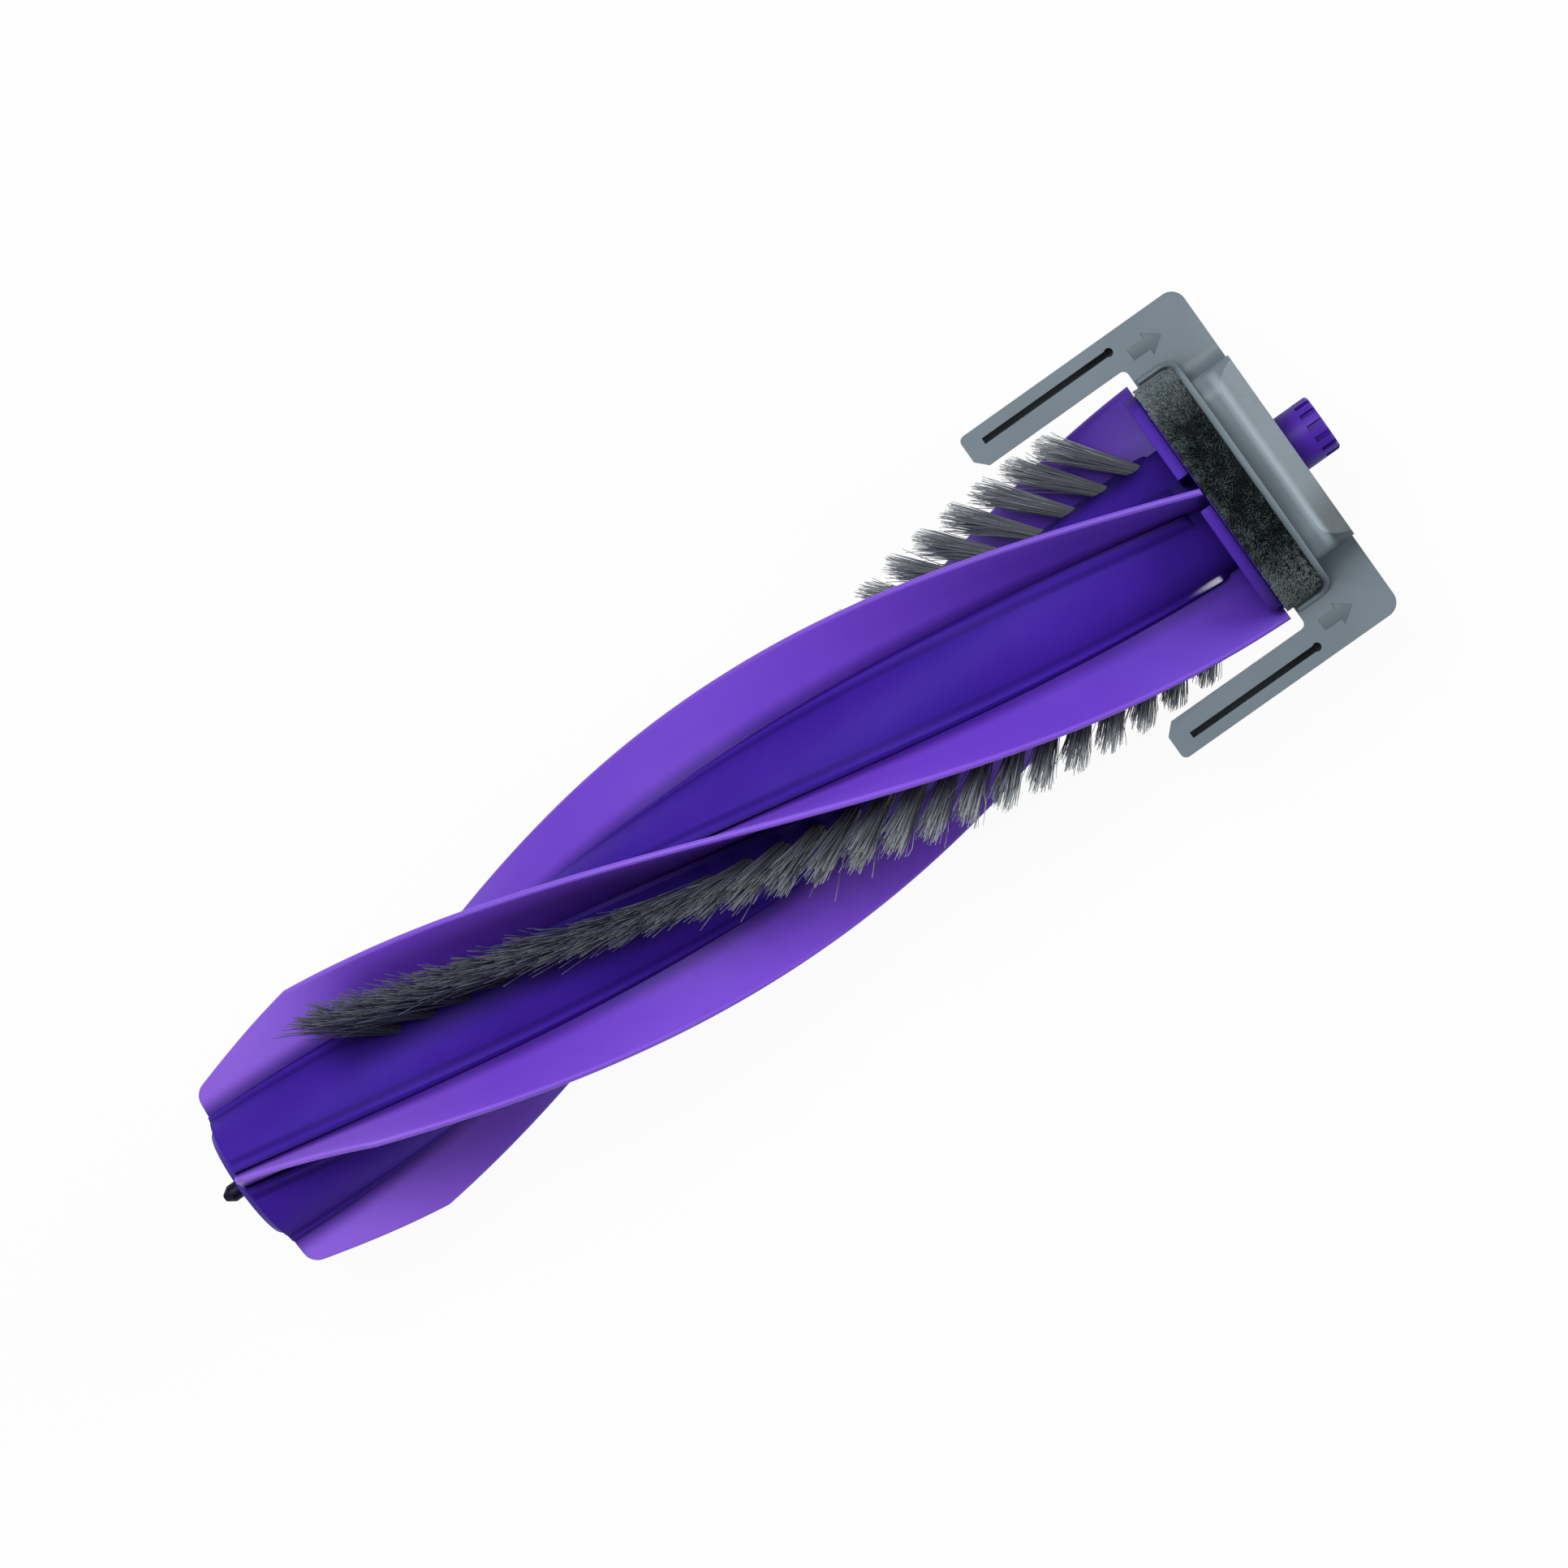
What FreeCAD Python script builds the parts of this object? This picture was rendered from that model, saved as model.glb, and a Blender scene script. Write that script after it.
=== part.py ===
"""Roller brush with its end bracket, as a parametric document.

Frame: X runs along the roller's axis from the idle pin to the drive stub, Z is up, and the origin is
on the axis at the hub face that the idle pin stands out of. Lengths are in millimetres.
"""
import FreeCAD, Part
import math
import os
import Sketcher

from FreeCAD import Placement, Rotation, Vector

SIZES = {
    # Core: a hollow moulding with a flange at its drive end
    "cap_thickness": 1.0,
    "core_length": 166.4,
    "core_radius": 10.2,
    "bore_radius": 5.2,
    "flange_radius": 18.3,
    "flange_thickness": 2.5,
    "disc_thickness": 0.7,
    "notch_half_width": 2.6,
    # Helix that the fins, the lips and the tuft rows share
    "twist_pitch": 333.0,
    "roller_phase": -4.5,
    "fin_count": 4,
    # Fins: soft blades with a foot that slides into a slot of the core
    "fin_radius": 20.0,
    "fin_end_radius": 14.6,
    "fin_ramp_length": 20.0,
    "fin_corner_round": 1.7,
    "fin_tip_thickness": 1.0,
    "fin_root_thickness": 1.8,
    "fin_foot_width": 3.4,
    "fin_foot_depth": 2.6,
    "seat_clearance": 0.05,
    # Lips beside each slot
    "lip_height": 0.6,
    "lip_width": 2.4,
    "lip_crest": 1.0,
    "lip_embed": 0.9,
    "lip_setback": 4.2,
    "lip_nose": 1.2,
    # Tufts: two leaning rows between the fins
    "tuft_count": 25,
    "tuft_row_count": 2,
    "tuft_sides": 4,
    "tuft_first": 31.0,
    "tuft_spacing": 5.4,
    "tuft_angle": 27.0,
    "tuft_root_radius": 1.0,
    "tuft_tip_radius": 1.35,
    "tuft_reach": 21.4,
    "tuft_lean": 9.5,
    "tuft_hole_depth": 3.4,
    "anchor_length": 1.5,
    "anchor_width": 0.5,
    "anchor_height": 0.6,
    # Idle end
    "cap_radius": 9.4,
    "cap_chamfer": 0.9,
    "cap_plug_length": 8.0,
    "pin_radius": 1.3,
    "pin_shank_radius": 1.8,
    "pin_reach": 3.9,
    "pin_taper_length": 1.2,
    "pin_tip_radius": 0.5,
    # Drive coupling: keyed plug, shoulder, journal and stub with a splined end
    "plug_length": 14.0,
    "key_width": 2.0,
    "key_height": 0.8,
    "shoulder_radius": 9.2,
    "shoulder_thickness": 1.2,
    "journal_radius": 4.8,
    "spline_radius": 4.35,
    "spline_reach": 5.9,
    "spline_groove_count": 14,
    "spline_groove_width": 0.8,
    "spline_groove_depth": 0.5,
    "spline_groove_length": 2.4,
    "spline_chamfer": 0.35,
    "spline_step": 0.6,
    # Bearing: washer, bush and ring
    "running_clearance": 0.04,
    "end_play": 0.3,
    "washer_radius": 8.0,
    "washer_thickness": 0.8,
    "bush_radius": 6.5,
    "bush_length": 7.0,
    "bush_flange_radius": 8.5,
    "bush_flange_thickness": 1.2,
    "ring_radius": 6.8,
    "ring_thickness": 0.8,
    "ring_gap": 5.0,
    "ring_groove_depth": 0.8,
    "ring_recess_radius": 7.8,
    # End bracket
    "bracket_gap": 0.4,
    "bracket_depth": 12.5,
    "bracket_half_width": 27.45,
    "wing_thickness": 5.0,
    "wing_round": 2.2,
    "arm_round": 0.9,
    "arm_length": 24.7,
    "arm_width": 5.4,
    "arm_notch": 1.5,
    "slot_setback": 2.8,
    "slot_length": 21.4,
    "slot_width": 0.95,
    "slot_inset": 2.25,
    "slot_depth": 3.6,
    "slot_relief_radius": 0.65,
    "cup_radius": 14.5,
    "hood_half_width": 15.2,
    "hood_height": 12.0,
    "hood_round": 4.0,
    "hood_reach": 0.25,
    "hood_slope_length": 3.6,
    "hood_slope_drop": 1.8,
    "foot_half_width": 19.0,
    "foot_round": 8.0,
    "foot_wall": 2.0,
    "foot_rib": 2.4,
    "foot_recess_depth": 8.0,
    "foot_recess_top": 4.5,
    "boss_radius": 11.0,
    # Pile strip round the bracket's inner rim
    "pile_radius": 19.0,
    "pile_thickness": 1.4,
    "pile_inset": 0.4,
    "pile_width": 5.0,
    "pile_arc": 162.0,
    "rim_width": 0.5,
    "rim_height": 0.6,
}

FULL_TURN = 360.0

doc = FreeCAD.newDocument("roller_brush")
sheet = doc.addObject("Spreadsheet::Sheet", "Sizes")
for row, (alias, number) in enumerate(SIZES.items(), start=1):
    sheet.set(f"A{row}", alias)
    sheet.set(f"B{row}", str(number))
    sheet.setAlias(f"B{row}", alias)
doc.recompute()


class Size:
    """A length or angle that is known both as a number and as an expression on the sheet."""

    def __init__(self, value, text):
        self.value = float(value)
        self.text = text

    @staticmethod
    def of(other):
        """Other itself if it is a Size, or a Size that holds the plain number."""
        return other if isinstance(other, Size) else Size(other, repr(float(other)))

    def joined(self, sign, other, value):
        """The Size of an operation on two of them."""
        return Size(value, f"({self.text} {sign} {Size.of(other).text})")

    def __add__(self, other):
        return self.joined("+", other, self.value + Size.of(other).value)

    def __sub__(self, other):
        return self.joined("-", other, self.value - Size.of(other).value)

    def __mul__(self, other):
        return self.joined("*", other, self.value * Size.of(other).value)

    def __truediv__(self, other):
        return self.joined("/", other, self.value / Size.of(other).value)

    def __neg__(self):
        return Size(-self.value, f"(-1 * {self.text})")


class Driving:
    """Reads the sheet's cells by name, each as a Size."""

    def __getattr__(self, alias):
        return Size(sheet.get(alias), f"Sizes.{alias}")


size = Driving()
ZERO = Size(0, "0")

# Places along the axis that several pieces share
core_start = size.cap_thickness
roller_end = core_start + size.core_length
flange_start = roller_end - size.flange_thickness
disc_start = roller_end - size.disc_thickness
lip_end = roller_end - size.lip_setback
shoulder_end = roller_end + size.shoulder_thickness
washer_end = shoulder_end + size.washer_thickness
bush_start = washer_end + size.end_play
cup_floor = bush_start + size.bush_flange_thickness
bush_end = cup_floor + size.bush_length
ring_start = bush_end + size.end_play
ring_end = ring_start + size.ring_thickness
bracket_inner = roller_end + size.bracket_gap
bracket_outer = bracket_inner + size.bracket_depth
spline_end = bracket_outer + size.spline_reach
pile_start = bracket_inner + size.pile_inset
pile_end = pile_start + size.pile_width
rim_end = pile_end + size.seat_clearance + size.rim_width

# Radii and half widths that two pieces share
lip_top = size.core_radius + size.lip_height
foot_bottom = size.core_radius - size.fin_foot_depth
foot_top = lip_top + size.lip_height
slot_half = size.fin_root_thickness / 2 + size.seat_clearance
plug_radius = size.bore_radius - size.seat_clearance
ring_bore = size.journal_radius - size.ring_groove_depth
bush_bore = size.journal_radius + size.running_clearance
pile_seat = size.pile_radius - size.pile_thickness
wing_top = size.wing_thickness / 2
arm_inner = size.bracket_half_width - size.arm_width
arm_tip = bracket_inner - size.arm_length
foot_depth = size.tuft_reach


def bind(thing, prop, length):
    """Ties one property of an object to the sheet."""
    thing.setExpression(prop, length.text)


def new_body(label):
    """An empty body under the node's own name."""
    body = doc.addObject("PartDesign::Body", label)
    body.Label = label
    return body


def origin_feature(body, role):
    """The body's own origin plane or axis with that role."""
    return next(f for f in body.Origin.OriginFeatures if f.Role == role)


def new_sketch(body, name, role, offset=ZERO, turn=ZERO):
    """A sketch on an origin plane of the body, moved along its normal and turned about the roller's axis."""
    sketch = body.newObject("Sketcher::SketchObject", f"{body.Name}_{name}")
    sketch.AttachmentSupport = [(origin_feature(body, role), "")]
    sketch.MapMode = "FlatFace"
    axis = Vector(0, 0, 1) if role == "YZ_Plane" else Vector(1, 0, 0)
    sketch.AttachmentOffset = Placement(Vector(0, 0, offset.value), Rotation(axis, turn.value))
    if offset is not ZERO:
        bind(sketch, "AttachmentOffset.Base.z", offset)
    if turn is not ZERO:
        bind(sketch, "AttachmentOffset.Rotation.Angle", turn)
    return sketch


def hold(sketch, kind, *args, length):
    """Adds a constraint whose value follows the sheet."""
    index = sketch.addConstraint(Sketcher.Constraint(kind, *args, length.value))
    bind(sketch, f"Constraints[{index}]", length)


def place(sketch, geometry, end, across, up):
    """Fixes a point of the sketch at two sizes from the sketch's origin."""
    for length, kind, axis in ((across, "DistanceX", -2), (up, "DistanceY", -1)):
        if length is ZERO:
            sketch.addConstraint(Sketcher.Constraint("PointOnObject", geometry, end, axis))
        else:
            hold(sketch, kind, -1, 1, geometry, end, length=length)


def draw_outline(sketch, corners):
    """Draws a closed outline of straight sides.

    A corner is (across, up) or (across, up, radius), and one with a radius is rounded by a tangent arc.
    """
    count = len(corners)
    spots = [Vector(Size.of(c[0]).value, Size.of(c[1]).value, 0) for c in corners]
    arrivals, departures, centres = list(spots), list(spots), {}
    for i, corner in enumerate(corners):
        if len(corner) < 3:
            continue
        back = (spots[i - 1] - spots[i]).normalize()
        ahead = (spots[(i + 1) % count] - spots[i]).normalize()
        half = math.acos(max(-1.0, min(1.0, back.dot(ahead)))) / 2
        reach = corner[2].value / math.tan(half)
        arrivals[i] = spots[i] + back * reach
        departures[i] = spots[i] + ahead * reach
        centres[i] = spots[i] + (back + ahead).normalize() * (corner[2].value / math.sin(half))
    sides = [
        sketch.addGeometry(Part.LineSegment(departures[i], arrivals[(i + 1) % count]))
        for i in range(count)
    ]
    for i, corner in enumerate(corners):
        before, after = sides[i - 1], sides[i]
        if i not in centres:
            sketch.addConstraint(Sketcher.Constraint("Coincident", before, 2, after, 1))
            place(sketch, after, 1, corner[0], corner[1])
            continue
        ends = [arrivals[i] - centres[i], departures[i] - centres[i]]
        turns_left = ends[0].cross(ends[1]).z > 0
        angles = [math.atan2(v.y, v.x) for v in (ends if turns_left else reversed(ends))]
        circle = Part.Circle(centres[i], Vector(0, 0, 1), corner[2].value)
        arc = sketch.addGeometry(Part.ArcOfCircle(circle, *angles))
        first, last = (1, 2) if turns_left else (2, 1)
        sketch.addConstraint(Sketcher.Constraint("Tangent", before, 2, arc, first))
        sketch.addConstraint(Sketcher.Constraint("Tangent", arc, last, after, 1))
        hold(sketch, "Radius", arc, length=corner[2])
        point = sketch.addGeometry(Part.Point(spots[i]), True)
        place(sketch, point, 1, corner[0], corner[1])
        sketch.addConstraint(Sketcher.Constraint("PointOnObject", point, 1, before))
        sketch.addConstraint(Sketcher.Constraint("PointOnObject", point, 1, after))


def draw_circle(sketch, across, up, radius):
    """Draws a circle with its centre at two sizes from the sketch's origin."""
    centre = Vector(across.value, up.value, 0)
    ring = sketch.addGeometry(Part.Circle(centre, Vector(0, 0, 1), radius.value))
    place(sketch, ring, 3, across, up)
    hold(sketch, "Radius", ring, length=radius)


def add_feature(body, kind, sketch, name):
    """A feature of the body that works on a sketch."""
    feature = body.newObject(f"PartDesign::{kind}", f"{body.Name}_{name}")
    feature.Profile = (sketch, [""])
    return feature


def extrude(body, kind, sketch, name, length, symmetric=False, back=False):
    """A Pad or a Pocket of the sketch."""
    feature = add_feature(body, kind, sketch, name)
    feature.SideType = "Symmetric" if symmetric else "One side"
    feature.Reversed = back
    bind(feature, "Length", length)
    return feature


def revolve(body, kind, sketch, name, angle=Size(FULL_TURN, str(FULL_TURN))):
    """A Revolution or a Groove of the sketch about the roller's axis."""
    feature = add_feature(body, kind, sketch, name)
    feature.ReferenceAxis = (origin_feature(body, "X_Axis"), [""])
    feature.Midplane = angle.value < FULL_TURN
    bind(feature, "Angle", angle)
    return feature


def twist(body, kind, sketch, name, length):
    """An AdditiveHelix or a SubtractiveHelix that carries a section along the roller's shared helix."""
    feature = add_feature(body, kind, sketch, name)
    feature.ReferenceAxis = (origin_feature(body, "X_Axis"), [""])
    feature.Mode = "pitch-height-angle"
    bind(feature, "Pitch", size.twist_pitch)
    bind(feature, "Height", length)
    return feature


def repeat_round(body, feature, name, count):
    """Repeats a feature evenly round the roller's axis."""
    pattern = body.newObject("PartDesign::PolarPattern", f"{body.Name}_{name}")
    pattern.Originals = [feature]
    pattern.Axis = (origin_feature(body, "X_Axis"), [""])
    pattern.Angle = FULL_TURN
    bind(pattern, "Occurrences", count)
    body.Tip = pattern
    return pattern


def mirror_across(body, features, name):
    """Repeats features on the other side of the upright plane through the axis."""
    pattern = body.newObject("PartDesign::Mirrored", f"{body.Name}_{name}")
    pattern.Originals = features
    pattern.MirrorPlane = (origin_feature(body, "XZ_Plane"), [""])
    body.Tip = pattern
    return pattern


def turn_with_roller(thing, angle=ZERO):
    """Turns a piece about the axis by the roller's phase and an angle of its own."""
    total = size.roller_phase + angle
    thing.Placement = Placement(Vector(), Rotation(Vector(1, 0, 0), total.value))
    bind(thing, "Placement.Rotation.Angle", total)


def add_shape(label, shape):
    """A piece whose shape is given, for forms that repeat along a helix."""
    thing = doc.addObject("Part::Feature", label)
    thing.Label = label
    thing.Shape = shape
    return thing


def round_section(body, name, corners, kind="Revolution", step="turning", turn=ZERO):
    """A turned form, or a turned cut, from an outline of (place along the axis, radius)."""
    sketch = new_sketch(body, name, "XY_Plane", turn=turn)
    draw_outline(sketch, corners)
    return revolve(body, kind, sketch, step)


def fin_angle(number):
    """The angle of one fin from the first fin."""
    return Size(number, str(number)) * FULL_TURN / size.fin_count


def helix_point(along, angle, radius):
    """The point at a place along the axis that lies on the helix which starts at an angle."""
    turn = math.radians(angle + (along - core_start.value) / size.twist_pitch.value * FULL_TURN)
    return Vector(along, radius * math.cos(turn), radius * math.sin(turn))


def tuft_axes(row):
    """The root point, the axis and the length outside the core of each tuft in a row."""
    angle = size.tuft_angle.value + row * FULL_TURN / size.tuft_row_count.value
    height = size.tuft_reach.value - size.core_radius.value
    lean_sine = size.tuft_lean.value / math.hypot(size.tuft_lean.value, height)
    tip_radius = size.tuft_reach.value - size.tuft_tip_radius.value * lean_sine
    for i in range(int(size.tuft_count.value)):
        along = size.tuft_first.value + i * size.tuft_spacing.value
        root = helix_point(along, angle, size.core_radius.value)
        tip = helix_point(along - size.tuft_lean.value, angle, tip_radius)
        reach = (tip - root).Length
        yield root, (tip - root).normalize(), reach


def tuft_section(centre, axis, radius):
    """Closed outline across a tuft or its hole, with few corners because there are so many of them."""
    sides = int(size.tuft_sides.value)
    turn = Rotation(Vector(0, 0, 1), axis)
    spokes = [Rotation(Vector(0, 0, 1), i * FULL_TURN / sides) for i in range(sides)]
    corners = [centre + turn.multVec(s.multVec(Vector(radius, 0, 0))) for s in spokes]
    return corners + corners[:1]


def flat_sided(foot, tip):
    """Solid between two alike outlines, whose sides are flat."""
    outlines = [foot, tip]
    for i in range(len(foot) - 1):
        outlines.append([foot[i], foot[i + 1], tip[i + 1], tip[i], foot[i]])
    shell = Part.Shell([Part.Face(Part.makePolygon(outline)) for outline in outlines])
    shell.sewShape()
    return Part.makeSolid(shell)


def make_tuft_rows():
    """Two rows of leaning tufts, the staples under them and the holes that they stand in."""
    depth = size.tuft_hole_depth.value
    staple_height = size.anchor_height.value
    hole_radius = size.tuft_root_radius.value + size.seat_clearance.value
    hole_length = depth + 2 * hole_radius
    staple_size = Vector(size.anchor_length.value, size.anchor_width.value, staple_height)
    rows, staples, holes = [], [], []
    for row in range(int(size.tuft_row_count.value)):
        tufts, anchors = [], []
        for root, axis, reach in tuft_axes(row):
            bottom = root - axis * depth
            flare = (size.tuft_tip_radius.value - size.tuft_root_radius.value) / reach
            sunk = depth - staple_height - size.seat_clearance.value
            foot_radius = size.tuft_root_radius.value - flare * sunk
            foot = tuft_section(root - axis * sunk, axis, foot_radius)
            tip = tuft_section(root + axis * reach, axis, size.tuft_tip_radius.value)
            tufts.append(flat_sided(foot, tip))
            staple = Part.makeBox(*staple_size, Vector(-staple_size.x / 2, -staple_size.y / 2, 0))
            staple.Placement = Placement(bottom, Rotation(Vector(0, 0, 1), axis))
            anchors.append(staple)
            mouth = Part.makePolygon(tuft_section(bottom, axis, hole_radius))
            holes.append(Part.Face(mouth).extrude(axis * hole_length))
        rows.append(add_shape(f"bristle_row_{row + 1}", Part.Compound(tufts)))
        staples.append(add_shape(f"tuft_anchors_{row + 1}", Part.Compound(anchors)))
    for piece in rows + staples:
        turn_with_roller(piece)
    return rows, staples, add_shape("tuft_holes", Part.Compound(holes))


def make_core(holes):
    """Hollow core with a notched flange, four lipped helical slots, a keyway and two rows of tuft holes."""
    body = new_body("core_moulding")
    between_fins = fin_angle(1) / 2
    round_section(body, "tube", [
        (core_start, size.bore_radius),
        (roller_end, size.bore_radius),
        (roller_end, size.flange_radius),
        (flange_start, size.flange_radius),
        (flange_start, size.core_radius),
        (core_start, size.core_radius),
    ], turn=between_fins)
    lip_base = size.core_radius - size.lip_embed
    for number in range(int(size.fin_count.value)):
        lips = new_sketch(body, f"lips_{number}", "YZ_Plane", core_start, fin_angle(number))
        draw_outline(lips, [
            (lip_base, -(slot_half + size.lip_width)),
            (lip_top, -(slot_half + size.lip_crest)),
            (lip_top, slot_half + size.lip_crest),
            (lip_base, slot_half + size.lip_width),
        ])
        twist(body, "AdditiveHelix", lips, f"lip_{number}", lip_end - core_start)
    round_section(body, "nose", [
        (lip_end - size.lip_nose, lip_top),
        (lip_end, size.core_radius),
        (lip_end + size.lip_nose / 2, lip_top + size.lip_height),
        (lip_end - size.lip_nose, lip_top + size.lip_height),
    ], "Groove", "lip_nose", between_fins)
    slot_floor = foot_bottom - size.seat_clearance
    wide = size.fin_foot_width / 2 + size.seat_clearance
    notch_depth = size.flange_thickness - size.disc_thickness
    notch_turn = (flange_start + notch_depth / 2 - core_start) / size.twist_pitch * FULL_TURN
    for number in range(int(size.fin_count.value)):
        notch = new_sketch(body, f"notch_{number}", "YZ_Plane", flange_start, fin_angle(number) + notch_turn)
        draw_outline(notch, [
            (lip_top, -size.notch_half_width),
            (size.fin_radius, -size.notch_half_width),
            (size.fin_radius, size.notch_half_width),
            (lip_top, size.notch_half_width),
        ])
        extrude(body, "Pocket", notch, f"notch_cut_{number}", notch_depth, back=True)
        slot = new_sketch(body, f"slot_{number}", "YZ_Plane", core_start, fin_angle(number))
        draw_outline(slot, [
            (slot_floor, -wide),
            (foot_top, -slot_half),
            (foot_top, slot_half),
            (slot_floor, wide),
        ])
        twist(body, "SubtractiveHelix", slot, f"slot_cut_{number}", disc_start - core_start)
    keyway = new_sketch(body, "keyway", "YZ_Plane", roller_end)
    draw_key(keyway, size.seat_clearance)
    body.Tip = extrude(body, "Pocket", keyway, "keyway_cut", size.plug_length)
    core = doc.addObject("Part::Cut", "roller_core")
    core.Label = "roller_core"
    core.Base = body
    core.Tool = holes
    turn_with_roller(core)
    return core


def draw_key(sketch, clearance):
    """Section of the key, from inside the plug to its top, widened by a clearance on three sides."""
    half = size.key_width / 2 + clearance
    top = size.bore_radius + size.key_height + clearance
    root = size.bore_radius - size.key_height
    draw_outline(sketch, [(-half, root), (half, root), (half, top), (-half, top)])


def make_fins():
    """Soft blades with a dovetail foot, each carried along the helix and trimmed to the roller's outline."""
    fins = []
    half_foot = size.fin_foot_width / 2
    half_root = size.fin_root_thickness / 2
    half_tip = size.fin_tip_thickness / 2
    outside = size.fin_radius + size.fin_corner_round
    for number in range(int(size.fin_count.value)):
        body = new_body(f"wiper_fin_{number + 1}")
        section = new_sketch(body, "section", "YZ_Plane", core_start)
        draw_outline(section, [
            (foot_bottom, -half_foot),
            (foot_top, -half_root),
            (size.fin_radius, -half_tip),
            (size.fin_radius, half_tip),
            (foot_top, half_root),
            (foot_bottom, half_foot),
        ])
        twist(body, "AdditiveHelix", section, "blade", disc_start - core_start - size.seat_clearance)
        round_section(body, "trim", [
            (core_start, foot_bottom),
            (core_start, size.fin_end_radius, size.fin_corner_round),
            (core_start + size.fin_ramp_length, size.fin_radius),
            (core_start + size.fin_ramp_length, outside),
            (core_start - size.cap_thickness, outside),
            (core_start - size.cap_thickness, foot_bottom),
        ], "Groove", "trimming", fin_angle(1) / 2)
        turn_with_roller(body, fin_angle(number))
        fins.append(body)
    return fins


def make_idle_end():
    """Cap that closes the core and the pin pressed into it."""
    cap = new_body("idle_end_cap")
    plug_end = core_start + size.cap_plug_length
    pin_hole = size.pin_shank_radius + size.seat_clearance
    round_section(cap, "cap", [
        (ZERO, pin_hole),
        (plug_end, pin_hole),
        (plug_end, plug_radius),
        (core_start, plug_radius),
        (core_start, size.cap_radius),
        (size.cap_chamfer, size.cap_radius),
        (ZERO, size.cap_radius - size.cap_chamfer),
    ])
    pin = new_body("idle_pin")
    round_section(pin, "pin", [
        (-size.pin_reach, ZERO),
        (plug_end, ZERO),
        (plug_end, size.pin_shank_radius),
        (ZERO, size.pin_shank_radius),
        (ZERO, size.pin_radius),
        (size.pin_taper_length - size.pin_reach, size.pin_radius),
        (-size.pin_reach, size.pin_tip_radius),
    ])
    return [cap, pin]


def make_drive_coupling():
    """Keyed plug, shoulder on the core's end, journal with a ring groove, and stub with a splined end."""
    body = new_body("drive_coupling")
    plug_start = roller_end - size.plug_length
    round_section(body, "turning", [
        (plug_start, ZERO),
        (spline_end, ZERO),
        (spline_end, size.spline_radius - size.spline_chamfer),
        (spline_end - size.spline_chamfer, size.spline_radius),
        (ring_end + size.spline_step, size.spline_radius),
        (ring_end + size.spline_step, size.journal_radius),
        (ring_end, size.journal_radius),
        (ring_end, ring_bore),
        (ring_start, ring_bore),
        (ring_start, size.journal_radius),
        (shoulder_end, size.journal_radius),
        (shoulder_end, size.shoulder_radius),
        (roller_end, size.shoulder_radius),
        (roller_end, plug_radius),
        (plug_start, plug_radius),
    ])
    key = new_sketch(body, "key", "YZ_Plane", plug_start + size.seat_clearance)
    draw_key(key, ZERO)
    extrude(body, "Pad", key, "key_rib", size.plug_length - size.seat_clearance)
    groove = new_sketch(body, "groove", "YZ_Plane", spline_end)
    half_groove = size.spline_groove_width / 2
    draw_outline(groove, [
        (-half_groove, size.spline_radius - size.spline_groove_depth),
        (half_groove, size.spline_radius - size.spline_groove_depth),
        (half_groove, size.journal_radius),
        (-half_groove, size.journal_radius),
    ])
    flute = extrude(body, "Pocket", groove, "flute", size.spline_groove_length)
    repeat_round(body, flute, "flute_pattern", size.spline_groove_count)
    turn_with_roller(body)
    return body


def make_bearing():
    """Thrust washer and retaining ring on the journal, and the flanged bush in the bracket."""
    washer = new_body("thrust_washer")
    round_section(washer, "washer", [
        (shoulder_end, bush_bore),
        (washer_end, bush_bore),
        (washer_end, size.washer_radius),
        (shoulder_end, size.washer_radius),
    ])
    ring = new_body("retaining_ring")
    ring_inner = ring_bore + size.seat_clearance
    round_section(ring, "ring", [
        (ring_start + size.seat_clearance, ring_inner),
        (ring_end - size.seat_clearance, ring_inner),
        (ring_end - size.seat_clearance, size.ring_radius),
        (ring_start + size.seat_clearance, size.ring_radius),
    ])
    mouth = new_sketch(ring, "mouth", "YZ_Plane", ring_end)
    half_gap = size.ring_gap / 2
    draw_outline(mouth, [
        (-half_gap, ZERO),
        (half_gap, ZERO),
        (half_gap, size.ring_recess_radius),
        (-half_gap, size.ring_recess_radius),
    ])
    ring.Tip = extrude(ring, "Pocket", mouth, "mouth_cut", size.ring_thickness)
    bush = new_body("journal_bush")
    bush_outer = size.bush_radius - size.seat_clearance
    round_section(bush, "bush", [
        (bush_start, bush_bore),
        (bush_end, bush_bore),
        (bush_end, bush_outer),
        (cup_floor, bush_outer),
        (cup_floor, size.bush_flange_radius),
        (bush_start, size.bush_flange_radius),
    ])
    for piece in (washer, ring):
        turn_with_roller(piece)
    return [washer, ring, bush]


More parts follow.
